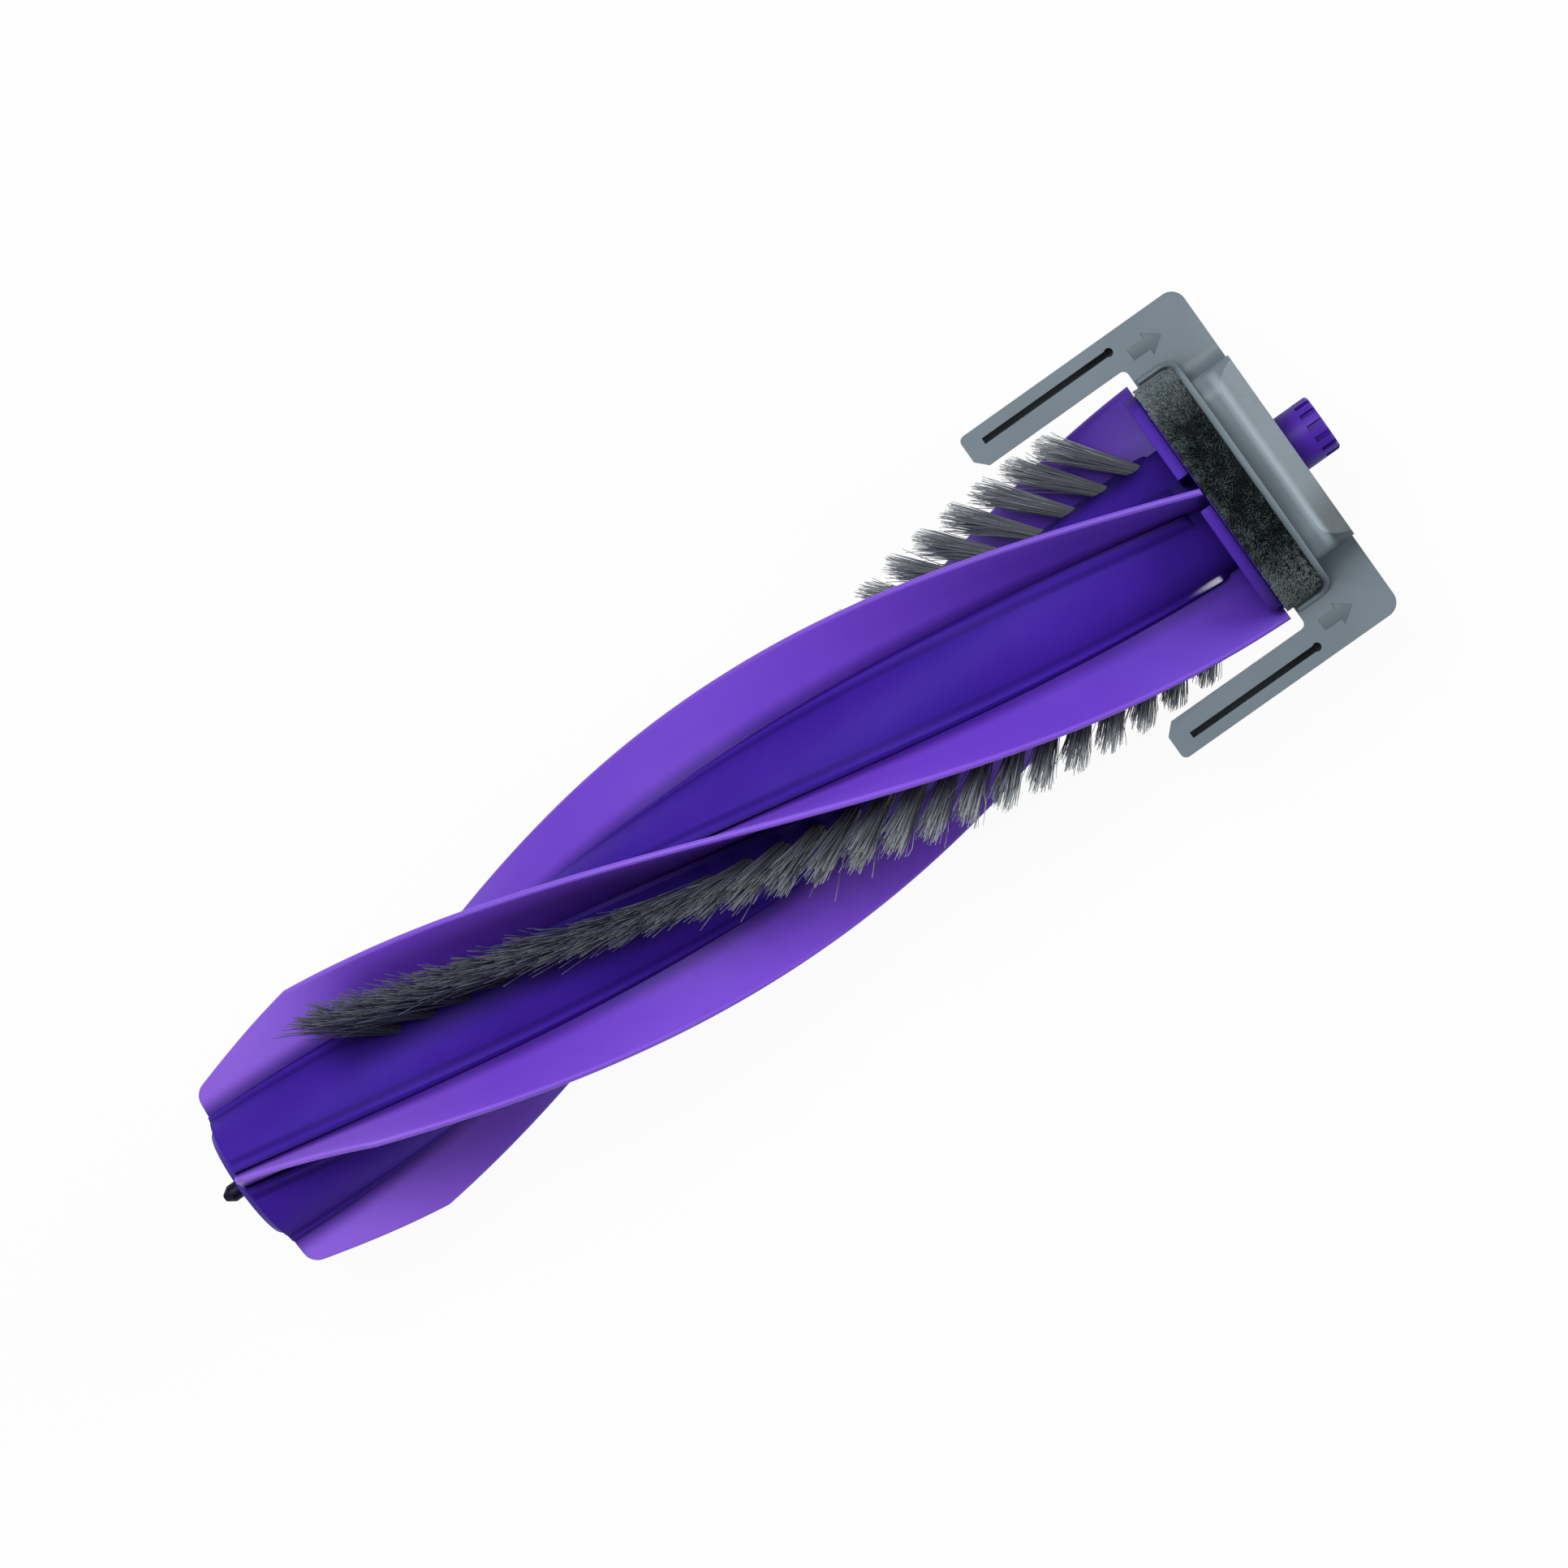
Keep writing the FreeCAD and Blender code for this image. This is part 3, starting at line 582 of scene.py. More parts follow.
@dataclass(frozen=True, kw_only=True)
class NylonFilament(Finish):
    """Nylon bristle, dark at the root and pale at the tips, each filament a little different, with painted
    light that makes it paler towards the drive end.
    """

    root_colour: Colour
    colour: Colour
    tip_colour: Colour
    roughness: float = 0.48
    swing: float = 0.2
    specular: float = 0.35
    grain_scale: float = 1500.0
    grain_detail: float = 1.0
    grain_edge: float = 0.5
    body_span: Span = (10.0 * MM, 16.0 * MM)
    tip_span: Span = (17.0 * MM, 21.2 * MM)
    tip_share: float = 0.85
    tip_jitter: float = 4.0 * MM
    dark_span: Span = (0.3, 0.8)
    dark_share: float = 0.6
    drive_span: Span = (65.0 * MM, 115.0 * MM)
    drive_light: float = 0.3
    idle_tips: float = 0.24
    pale_span: Span = (0.88, 0.98)
    pale_share: float = 0.7

    def body(self, graph: Graph, where: Socket, grain: Socket) -> Socket:
        """The colour from root to tip, with dark and pale filaments, and painted light that makes the drive
        end paler.

        Args:
            graph: The material's graph.
            where: Object coordinates.
            grain: The grain.

        Returns:
            The colour.
        """
        along, _, _ = graph.spread(where)
        radius = graph.radius(where)
        shade = graph.strand()
        grown = graph.step(radius, *self.body_span)
        body = graph.mix(grown, self.root_colour, self.colour)
        body = graph.mix(self.dark_share * graph.step(shade, *self.dark_span), body, self.root_colour)
        # Painted light: the bristles, their tips and the pale filaments grow paler towards the drive end.
        drive = self.idle_tips + (1.0 - self.idle_tips) * graph.step(along, *self.drive_span)
        body = graph.mix(self.drive_light * (drive - self.idle_tips), body, self.tip_colour)
        tips = graph.step(radius + self.tip_jitter * (shade - 0.5), *self.tip_span)
        body = graph.mix(self.tip_share * drive * tips, body, self.tip_colour)
        pale = graph.step(shade, *self.pale_span) * grown
        return graph.mix(self.pale_share * drive * pale, body, self.tip_colour)


@dataclass(frozen=True, kw_only=True)
class DensePile(Finish):
    """Short dense pile with dark mottling, and painted light that makes it greyer towards the ends of the
    strip.
    """

    dark: Colour
    pale: Colour
    lit_end_colour: Colour
    roughness: float = 0.85
    swing: float = 0.2
    specular: float = 0.2
    grain_scale: float = 520.0
    grain_detail: float = 3.0
    fibre_sway: float = 0.35
    mottle_span: Span = (0.44, 0.64)
    lit_end_span: Span = (9.0 * MM, 17.5 * MM)
    lit_end_least: float = 0.2

    def body(self, graph: Graph, where: Socket, grain: Socket) -> Socket:
        """The mottled colour, with the painted light of the grey ends laid over it.

        Args:
            graph: The material's graph.
            where: Object coordinates.
            grain: The grain, which is the mottling.

        Returns:
            The colour.
        """
        _, across, _ = graph.spread(where)
        shade = graph.strand()
        mottle = graph.step(grain + self.fibre_sway * (shade - 0.5), *self.mottle_span)
        # Painted light: the strip's ends grow greyer, more on some fibres than on others.
        ends = graph.step(graph.size(across), *self.lit_end_span)
        share = ends * (self.lit_end_least + (1.0 - self.lit_end_least) * shade)
        return graph.mix(share, graph.mix(mottle, self.dark, self.pale), self.lit_end_colour)


@dataclass(frozen=True, kw_only=True)
class BareMetal(Finish):
    """Bare metal with fine turning marks round the axis."""

    colour: Colour
    swing: float = 0.2
    metallic: float = 1.0
    grain_scale: float = 1.0
    grain_edge: float = 0.5
    relief: float = 0.15
    relief_depth: float = 0.01 * MM
    mark_scale: tuple[float, float, float] = (9000.0, 300.0, 300.0)
    mark_share: float = 0.8

    def grain(self, graph: Graph, where: Socket) -> Socket:
        """The turning marks, a noise that is stretched round the axis."""
        stretched = graph.node("ShaderNodeMapping", None, {"Vector": where, "Scale": self.mark_scale})
        return super().grain(graph, stretched)

    def body(self, graph: Graph, where: Socket, grain: Socket) -> Socket:
        """The colour, a little darker in the marks."""
        return graph.mix(grain, darker(self.colour, self.mark_share), self.colour)


class Workpiece:
    """A bmesh on the bench, with the operations that the pieces need."""

    def __init__(self) -> None:
        """Starts empty."""
        self.bm = bmesh.new()

    def outline(self, points: Iterable[Vector], closed: bool = True) -> Edges:
        """Joins points by edges.

        Args:
            points: The outline's points in order.
            closed: True if the last point joins the first.

        Returns:
            The edges in order.
        """
        corners = [self.bm.verts.new(p) for p in points]
        pairs = list(zip(corners, corners[1:]))
        if closed:
            pairs.append((corners[-1], corners[0]))
        return [self.bm.edges.new(pair) for pair in pairs]

    def repeat_round(self, edges: Edges, count: int) -> Edges:
        """Repeats edges evenly round the axis and welds their ends.

        Args:
            edges: The edges of one share of the turn.
            count: How many shares make the whole turn.

        Returns:
            All the edges of the bmesh.
        """
        share = 2 * math.pi / count
        bmesh.ops.spin(self.bm, geom=self.with_corners(edges), axis=AXIS, cent=Vector(),
                       angle=share * (count - 1), steps=count - 1, use_duplicate=True)
        bmesh.ops.remove_doubles(self.bm, verts=self.bm.verts[:], dist=WELD)
        return self.bm.edges[:]

    @staticmethod
    def with_corners(edges: Edges) -> list[Any]:
        """Edges together with their vertices."""
        return list({v for e in edges for v in e.verts}) + edges

    def screw(self, edges: Edges, angle: float, along: float, steps: int) -> Edges:
        """Carries an outline round the axis and along it at once.

        Args:
            edges: The outline.
            angle: How far it turns.
            along: How far it goes along the axis.
            steps: Into how many steps that is cut.

        Returns:
            The outline at the far end.
        """
        made = bmesh.ops.spin(self.bm, geom=self.with_corners(edges), axis=AXIS, cent=Vector(), angle=angle,
                              steps=steps, dvec=AXIS * (along / steps), use_merge=False)
        return [g for g in made["geom_last"] if isinstance(g, bmesh.types.BMEdge)]

    def carry(self, edges: Edges, helix: "Helix", stops: Iterable[tuple[float, int]]) -> Edges:
        """Carries an outline along a helix, span by span.

        Args:
            edges: The outline at the helix's start.
            helix: The helix that it follows.
            stops: Where each span ends, and into how many steps it is cut.

        Returns:
            The outline at the last stop.
        """
        low = helix.start
        for high, steps in stops:
            edges = self.screw(edges, helix.turn(high - low), high - low, steps)
            low = high
        return edges

    def fill(self, edges: Edges) -> None:
        """Closes a flat outline, or the ring between two of them, with triangles."""
        bmesh.ops.triangle_fill(self.bm, edges=edges, use_beauty=True)

    def draw_out(self, face: bmesh.types.BMFace, by: Vector) -> list[bmesh.types.BMVert]:
        """Draws a flat face out into a slab.

        Args:
            face: The face, which stays as the slab's back.
            by: How far the slab's front goes, and which way.

        Returns:
            The corners of the front.
        """
        made = bmesh.ops.extrude_face_region(self.bm, geom=[face], use_keep_orig=True)
        moved = [g for g in made["geom"] if isinstance(g, bmesh.types.BMVert)]
        bmesh.ops.translate(self.bm, verts=moved, vec=by)
        return moved

    def sharp_edges(self, angle: float = SMOOTH_ANGLE) -> Edges:
        """Edges whose two faces meet at more than an angle."""
        return [e for e in self.bm.edges if len(e.link_faces) == 2 and e.calc_face_angle(0.0) > angle]

    def soften(self, edges: Edges, size: float, segments: int = 2) -> None:
        """Rounds edges."""
        bmesh.ops.bevel(self.bm, geom=edges, offset=size, segments=segments, profile=0.5, affect="EDGES",
                        clamp_overlap=True, material=-1)

    def join(self, other: "Workpiece") -> None:
        """Takes in the mesh of another workpiece, which is used up.

        Args:
            other: The other workpiece.
        """
        mesh = bpy.data.meshes.new("joined")
        other.bm.to_mesh(mesh)
        other.bm.free()
        self.bm.from_mesh(mesh)
        bpy.data.meshes.remove(mesh)

    def piece(self, name: str, closed: bool = True) -> bpy.types.Object:
        """Turns the bmesh into an object at the origin, smooth but for its sharp edges.

        Args:
            name: The piece's name.
            closed: True if the normals are to be turned outwards.

        Returns:
            The new object.
        """
        if closed:
            bmesh.ops.remove_doubles(self.bm, verts=self.bm.verts[:], dist=WELD)
            bmesh.ops.recalc_face_normals(self.bm, faces=self.bm.faces[:])
        for face in self.bm.faces:
            face.smooth = True
        for edge in self.sharp_edges():
            edge.smooth = False
        mesh = bpy.data.meshes.new(name)
        self.bm.to_mesh(mesh)
        self.bm.free()
        return place_object(name, mesh)


def place_object(name: str, data: bpy.types.ID) -> bpy.types.Object:
    """Links new data into the scene at the origin.

    Args:
        name: The object's name.
        data: Its mesh, curve, lamp or camera.

    Returns:
        The new object.
    """
    made = bpy.data.objects.new(name, data)
    bpy.context.scene.collection.objects.link(made)
    return made


def around(along: float, radius: float, angle: float) -> Vector:
    """A point at a place along the axis, a distance from it and an angle about it."""
    return Vector((along, radius * math.cos(angle), radius * math.sin(angle)))


def radius_of(point: Vector) -> float:
    """Distance of a point from the axis."""
    return math.hypot(point.y, point.z)


def set_radius(point: Vector, radius: float) -> None:
    """Moves a point straight towards the axis or away from it.

    Args:
        point: The point, which is changed itself.
        radius: Its new distance from the axis.
    """
    share = radius / radius_of(point)
    point.y *= share
    point.z *= share


def rounded(corners: Sequence[tuple[float, float, float]], segments: int = 4) -> list[tuple[float, float]]:
    """An open outline with its corners rounded.

    Args:
        corners: Each corner's place across and up, and its radius.
        segments: Into how many pieces each arc is cut.

    Returns:
        The points of the outline.
    """
    points = []
    for i, (across, up, radius) in enumerate(corners):
        here = Vector((across, up))
        if radius == 0.0 or i in (0, len(corners) - 1):
            points.append((across, up))
            continue
        back = (Vector(corners[i - 1][:2]) - here).normalized()
        ahead = (Vector(corners[i + 1][:2]) - here).normalized()
        half = back.angle(ahead) / 2
        reach = radius / math.tan(half)
        centre = here + (back + ahead).normalized() * (radius / math.sin(half))
        start, end = here + back * reach - centre, here + ahead * reach - centre
        for k in range(segments + 1):
            spoke = start.lerp(end, k / segments).normalized() * radius
            points.append(tuple(centre + spoke))
    return points


def strands_piece(name: str, strands: list[list[Vector]], thickness: float, taper: float,
                  roundness: int = 0) -> bpy.types.Object:
    """Makes fine fibres along given lines, as one mesh.

    Args:
        name: The piece's name.
        strands: The points of each fibre, root first.
        thickness: A fibre's diameter at its root.
        taper: Share of that diameter which is left at the tip.
        roundness: The bevel resolution of its section, 0 for four sides.

    Returns:
        The new object.
    """
    curve = bpy.data.curves.new(f"{name}_lines", "CURVE")
    curve.dimensions = "3D"
    curve.bevel_depth = thickness / 2
    curve.bevel_resolution = roundness
    curve.use_fill_caps = True
    for points in strands:
        line = curve.splines.new("POLY")
        line.points.add(len(points) - 1)
        for i, (knot, point) in enumerate(zip(line.points, points)):
            knot.co = (*point, 1.0)
            knot.radius = 1.0 - (1.0 - taper) * i / (len(points) - 1)
    holder = place_object(f"{name}_lines", curve)
    bpy.context.view_layer.update()
    graph = bpy.context.evaluated_depsgraph_get()
    mesh = bpy.data.meshes.new_from_object(holder.evaluated_get(graph))
    bpy.data.objects.remove(holder)
    bpy.data.curves.remove(curve)
    draw = random.Random(SEED + len(strands))
    share = len(mesh.vertices) // len(strands)
    shades = [shade for shade in (draw.random() for _ in strands) for _ in range(share)]
    mesh.attributes.new(STRAND_SHADE, "FLOAT", "POINT").data.foreach_set("value", shades)
    work = Workpiece()
    work.bm.from_mesh(mesh)
    bpy.data.meshes.remove(mesh)
    return work.piece(name)


def dress(piece: bpy.types.Object, body: Body, slot: Slot, material: bpy.types.Material, *nodes: str) -> None:
    """Gives a piece its material and its body, and hides the nodes that it stands for.

    Args:
        piece: The finished piece.
        body: The body that it rides on.
        slot: The record's slot that it takes its finish from; not used.
        material: Its finish.
        nodes: The nodes that it hides.
    """
    paint(piece, material)
    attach(piece, body.value)
    if nodes:
        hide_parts(*nodes)
    log.info("%s rides on %s, %d faces", piece.name, body.value, len(piece.data.polygons))


def paint(piece: bpy.types.Object, material: bpy.types.Material) -> None:
    """Gives a piece or a node one material in place of those it has."""
    piece.data.materials.clear()
    piece.data.materials.append(material)


@dataclass(frozen=True)
class Helix:
    """The right-handed helix that the slots, the fins and the tuft rows share."""

    start: float
    pitch: float = 333.0 * MM
    phase: float = math.radians(-4.5)

    def turn(self, length: float) -> float:
        """Angle that the helix turns over a length."""
        return 2 * math.pi * length / self.pitch

    def point(self, along: float, angle: float, radius: float) -> Vector:
        """A point on the helix which starts at an angle from the first fin."""
        return around(along, radius, self.phase + angle + self.turn(along - self.start))

    def section_point(self, fin: int, up: float, across: float) -> Vector:
        """A point of the starting section, measured along and across the direction of a fin."""
        angle = self.phase + fin * QUARTER
        return Vector((self.start, up * math.cos(angle) - across * math.sin(angle),
                       up * math.sin(angle) + across * math.cos(angle)))


@dataclass
class CoreMoulding:
    """Core with lipped slots, and the notched flange at its drive end."""

    helix: Helix
    end: float
    flange_radius: float
    material: bpy.types.Material
    radius: float = CORE_RADIUS
    bore: float = 5.2 * MM
    bore_segments: int = 48
    lip_height: float = 0.6 * MM
    lip_crest: float = 1.95 * MM
    lip_foot: float = 2.9 * MM
    lip_rounds: Span = (0.2 * MM, 0.4 * MM)
    lip_end_gap: float = 4.2 * MM
    nose_length: float = 1.6 * MM
    slot_mouth: float = 1.25 * MM
    slot_wide: float = 1.75 * MM
    slot_floor: float = 7.55 * MM
    flange_thickness: float = 2.5 * MM
    flange_edge: float = 0.22 * MM
    disc_thickness: float = 0.7 * MM
    disc_segments: int = 128
    notch_half: float = 2.6 * MM
    notched_segments: int = 96
    arc_steps: int = 12
    span_steps: tuple[int, int, int] = (110, 12, 4)

    def quarter(self) -> list[Vector]:
        """Section from the middle of one slot to the middle of the next.

        Returns:
            Its points in order.
        """
        top = self.radius + self.lip_height
        foot_up = math.sqrt(self.radius ** 2 - self.lip_foot ** 2)
        half = rounded([
            (self.slot_floor, 0.0, 0.0),
            (self.slot_floor, self.slot_wide, 0.0),
            (top, self.slot_mouth, self.lip_rounds[0]),
            (top, self.lip_crest, self.lip_rounds[1]),
            (foot_up, self.lip_foot, 0.0),
        ])
        points = [self.helix.section_point(0, up, across) for up, across in half]
        edge = math.asin(self.lip_foot / self.radius)
        for k in range(1, self.arc_steps):
            angle = edge + (QUARTER - 2 * edge) * k / self.arc_steps
            up, across = self.radius * math.cos(angle), self.radius * math.sin(angle)
            points.append(self.helix.section_point(0, up, across))
        return points + [self.helix.section_point(1, up, -across) for up, across in reversed(half)]

    def lip_limit(self, along: float) -> float:
        """Largest radius of the lips at a place, which falls in a round nose at their end.

        Args:
            along: The place along the axis.

        Returns:
            The radius.
        """
        nose_start = self.end - self.lip_end_gap - self.nose_length
        past = max(0.0, (along - nose_start) / self.nose_length)
        return self.radius + self.lip_height * math.sqrt(max(0.0, 1.0 - past * past))

    def tube(self) -> Workpiece:
        """The core itself, carried along the helix in spans that are finer at the lips' noses.

        Returns:
            The core, with its lips and without its flange.
        """
        work = Workpiece()
        outer = work.repeat_round(work.outline(self.quarter(), closed=False), FIN_COUNT)
        circle = bmesh.ops.create_circle(work.bm, segments=self.bore_segments, radius=self.bore,
                                         matrix=Matrix.Translation(AXIS * self.helix.start) @ ACROSS_AXIS)
        inner = list({e for v in circle["verts"] for e in v.link_edges})
        work.fill(outer + inner)
        lip_end = self.end - self.lip_end_gap
        stops = list(zip((lip_end - self.nose_length, lip_end, self.end), self.span_steps))
        work.fill(work.carry(outer, self.helix, stops) + work.carry(inner, self.helix, stops))
        for vert in work.bm.verts:
            limit = self.lip_limit(vert.co.x)
            if radius_of(vert.co) > limit:
                set_radius(vert.co, limit)
        return work

    def slab(self, start: float, depth: float, segments: int, sides: Sequence[Vector] = ()) -> Workpiece:
        """A slab of the flange across the axis, with softened edges.

        Args:
            start: Where it starts along the axis.
            depth: How thick it is.
            segments: Into how many pieces its whole rim is cut.
            sides: Directions from notches into the slab, which is cut off half a notch along each.

        Returns:
            The slab.
        """
        work = Workpiece()
        bmesh.ops.create_circle(work.bm, cap_ends=True, segments=segments, radius=self.flange_radius,
                                matrix=Matrix.Translation(AXIS * start) @ ACROSS_AXIS)
        for side in sides:
            whole = [*work.bm.verts, *work.bm.edges, *work.bm.faces]
            bmesh.ops.bisect_plane(work.bm, geom=whole, plane_co=side * self.notch_half, plane_no=side,
                                   clear_inner=True)
        back = next(iter(work.bm.faces))
        front = work.draw_out(back, AXIS * depth)
        rim = {e for v in front for e in v.link_edges if e.calc_face_angle(0.0) > SMOOTH_ANGLE}
        work.soften(list(rim.union(back.edges)), self.flange_edge)
        return work

    def flange(self) -> list[Workpiece]:
        """The flange: a thin disc, and in front of it four segments with notches for the fins.

        Returns:
            Its slabs.
        """
        start = self.end - self.flange_thickness
        depth = self.flange_thickness - self.disc_thickness
        turned = self.helix.phase + self.helix.turn(start - self.helix.start)
        slabs = [self.slab(start + depth, self.disc_thickness, self.disc_segments)]
        for fin in range(FIN_COUNT):
            angles = turned + fin * QUARTER, turned + (fin + 1) * QUARTER
            sides = [around(0.0, 1.0, angles[0] + QUARTER), around(0.0, 1.0, angles[1] - QUARTER)]
            slabs.append(self.slab(start, depth, self.notched_segments, sides))
        return slabs

    def build(self) -> None:
        """Builds and dresses the core."""
        work = self.tube()
        for slab in self.flange():
            work.join(slab)
        dress(work.piece("core_moulding"), Body.ROLLER, Slot.CORE, self.material, "roller_core")


@dataclass
class WiperFin:
    """One soft fin with a foot in its slot, a round tip and a ramp at its idle end."""

    helix: Helix
    number: int
    end: float
    material: bpy.types.Material
    radius: float = 20.0 * MM
    end_radius: float = 14.6 * MM
    ramp_length: float = 20.0 * MM
    corner: float = 1.7 * MM
    root: float = 11.4 * MM
    root_half: float = 0.9 * MM
    tip_half: float = 0.5 * MM
    tip_round: float = 0.45 * MM
    foot_half: float = 1.7 * MM
    foot_bottom: float = 7.6 * MM
    corner_shares: Span = (0.25, 1.2)
    span_steps: tuple[int, int, int, int] = (5, 5, 14, 110)

    def section(self) -> list[Vector]:
        """Outline of the fin across its direction, foot first.

        Returns:
            Its points in order.
        """
        half = rounded([
            (self.foot_bottom, 0.0, 0.0),
            (self.foot_bottom, self.foot_half, 0.0),
            (self.root, self.root_half, 0.0),
            (0.5 * (self.root + self.radius), 0.5 * (self.root_half + self.tip_half), 0.0),
            (self.radius, self.tip_half, self.tip_round),
            (self.radius, 0.0, 0.0),
        ])
        other = [(up, -across) for up, across in reversed(half[1:-1])]
        return [self.helix.section_point(self.number, up, across) for up, across in half + other]

    def reach(self, along: float) -> float:
        """Radius of the fin's edge at a place: a round corner, a ramp, and then the full radius.

        Args:
            along: The place along the axis.

        Returns:
            The radius.
        """
        past = along - self.helix.start
        ramp = self.end_radius + (self.radius - self.end_radius) * min(1.0, past / self.ramp_length)
        if past >= self.corner:
            return ramp
        return ramp - self.corner + math.sqrt(self.corner ** 2 - (self.corner - past) ** 2)

    def build(self) -> None:
        """Builds and dresses the fin."""
        work = Workpiece()
        edges = work.outline(self.section())
        work.fill(edges)
        low = self.helix.start
        ends = [low + share * self.corner for share in self.corner_shares]
        stops = zip((*ends, low + self.ramp_length, self.end), self.span_steps)
        work.fill(work.carry(edges, self.helix, stops))
        for vert in work.bm.verts:
            share = (radius_of(vert.co) - self.root) / (self.radius - self.root)
            if share > 0.0:
                set_radius(vert.co, self.root + share * (self.reach(vert.co.x) - self.root))
        piece = work.piece(f"fin_blade_{self.number + 1}")
        dress(piece, Body.ROLLER, Slot.FIN, self.material, f"wiper_fin_{self.number + 1}")


@dataclass
class TuftRow:
    """One row of leaning tufts, each a bundle of single filaments."""

    helix: Helix
    number: int
    material: bpy.types.Material
    count: int = 25
    first: float = 31.0 * MM
    spacing: float = 5.4 * MM
    angle: float = TUFT_ANGLE
    core_radius: float = CORE_RADIUS
    reach: float = 21.3 * MM
    lean: float = 9.5 * MM
    filaments: int = 150
    thickness: float = 0.16 * MM
    taper: float = 0.5
    root_spread: float = 0.85 * MM
    tip_spread: float = 1.8 * MM
    flatness: float = 1.2
    sunk: float = 0.8 * MM
    bow: float = 0.7 * MM
    bow_mean: float = 0.4
    bow_scatter: float = 0.35
    stray_share: float = 0.10
    stray_reach: float = 1.1 * MM
    calm_reach: float = 0.3 * MM
    dome: float = 0.09
    ragged: float = 0.24
    ragged_power: float = 1.5
    splay: float = 1.5 * MM
    splay_span: Span = (70.0 * MM, 115.0 * MM)
    knots: tuple[float, ...] = (0.0, 0.3, 0.6, 0.85, 1.0)

    def strand(self, draw: random.Random, along: float) -> list[Vector]:
        """The line of one filament of the tuft that is rooted at a place.

        Args:
            draw: The source of the filament's small differences.
            along: The place of the tuft's root.

        Returns:
            Its points, root first.
        """
        angle = self.angle + self.number * math.pi
        root = self.helix.point(along, angle, self.core_radius)
        tip = self.helix.point(along - self.lean, angle, self.reach)
        axis = (tip - root).normalized()
        side = axis.cross(AXIS).normalized()
        other = axis.cross(side)
        turn, out = draw.uniform(0, 2 * math.pi), math.sqrt(draw.random())
        spread = side * (self.flatness * math.cos(turn)) + other * math.sin(turn)
        loose = self.stray_reach if draw.random() < self.stray_share else self.calm_reach
        stray = side * draw.gauss(0, loose) + other * draw.gauss(0, loose)
        short = self.dome * out * out + self.ragged * draw.random() ** self.ragged_power
        length = (tip - root).length * (1.0 - short)
        bend = side * draw.gauss(0, self.bow_scatter) + other * draw.gauss(self.bow_mean, self.bow_scatter)
        wild, calm = self.splay_span
        neat = min(1.0, max(0.0, (along - wild) / (calm - wild)))
        drift = AXIS * (draw.gauss(0, self.splay) * (1.0 - neat))
        points = []
        for share in self.knots:
            width = self.root_spread + (self.tip_spread - self.root_spread) * share
            middle = root + axis * (length * share - self.sunk * (1.0 - share))
            curl = (stray + bend * self.bow) * (share * share)
            point = middle + spread * (out * width) + drift * share + curl
            if radius_of(point) > self.reach:
                set_radius(point, self.reach)
            points.append(point)
        return points

    def build(self) -> None:
        """Builds and dresses the row."""
        draw = random.Random(SEED + self.number)
        strands = []
        for i in range(self.count):
            strands.extend(self.strand(draw, self.first + i * self.spacing) for _ in range(self.filaments))
        piece = strands_piece(f"bristle_tufts_{self.number + 1}", strands, self.thickness, self.taper)
        dress(piece, Body.ROLLER, Slot.BRISTLE, self.material, f"bristle_row_{self.number + 1}")


@dataclass
class TurnedPiece:
    """A hard piece that keeps its solid's form, with welded faces and softened edges."""

    node: str
    name: str
    body: Body
    slot: Slot
    material: bpy.types.Material
    edge: float
    edge_segments: int = 2
    flat_angle: float = math.radians(0.6)

    def refine(self, work: Workpiece) -> None:
        """Leaves the form as it is; a piece with roundings of its own adds them here."""

    def build(self) -> None:
        """Builds and dresses the piece."""
        work = Workpiece()
        work.bm.from_mesh(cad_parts[self.node].data)
        bmesh.ops.remove_doubles(work.bm, verts=work.bm.verts[:], dist=WELD)
        bmesh.ops.dissolve_limit(work.bm, angle_limit=self.flat_angle, verts=work.bm.verts[:],
                                 edges=work.bm.edges[:])
        self.refine(work)
        piece = work.piece(self.name, closed=False)
        bevel = piece.modifiers.new("soft_edges", "BEVEL")
        bevel.width = self.edge
        bevel.segments = self.edge_segments
        bevel.limit_method = "ANGLE"
        bevel.angle_limit = SMOOTH_ANGLE
        bevel.harden_normals = True
        dress(piece, self.body, self.slot, self.material, self.node)


@dataclass
class BracketMoulding(TurnedPiece):
    """The end bracket, with a rounded crown on its hood and a fillet where the hood meets the wings."""

    crest: float = 176.95 * MM
    hood_top: float = 12.0 * MM
    hood_half: float = 15.2 * MM
    slope: float = 0.5
    wing_top: float = WING_TOP
    crown_round: float = 0.6 * MM
    crown_reach: float = 3.0 * MM
    fillet: float = 2.6 * MM
    round_segments: int = 3
    least_angle: float = math.radians(12)
    reach: float = 0.03 * MM

    def on_crown(self, ends: list[Vector]) -> bool:
        """Tells an edge between the hood's top or sides and its slope.

        Args:
            ends: The edge's ends.

        Returns:
            True if the edge is one.
        """
        gaps = [spot.z - self.hood_top + self.slope * (spot.x - self.crest) for spot in ends]
        on_slope = all(abs(gap) < self.reach for gap in gaps)
        above = all(spot.z > self.wing_top for spot in ends)
        return on_slope and above and min(spot.x for spot in ends) < self.crest + self.crown_reach

    def on_fillet(self, ends: list[Vector]) -> bool:
        """True for an edge where the hood meets a wing's top."""
        level = all(abs(spot.z - self.wing_top) < self.reach for spot in ends)
        return level and all(abs(abs(spot.y) - self.hood_half) < self.reach for spot in ends)

    def refine(self, work: Workpiece) -> None:
        """Rounds the crown and the fillets.

        Args:
            work: The bracket on the bench.
        """
        for chosen, size in ((self.on_crown, self.crown_round), (self.on_fillet, self.fillet)):
            edges = [e for e in work.sharp_edges(self.least_angle) if chosen([v.co for v in e.verts])]
            work.soften(edges, size, self.round_segments)


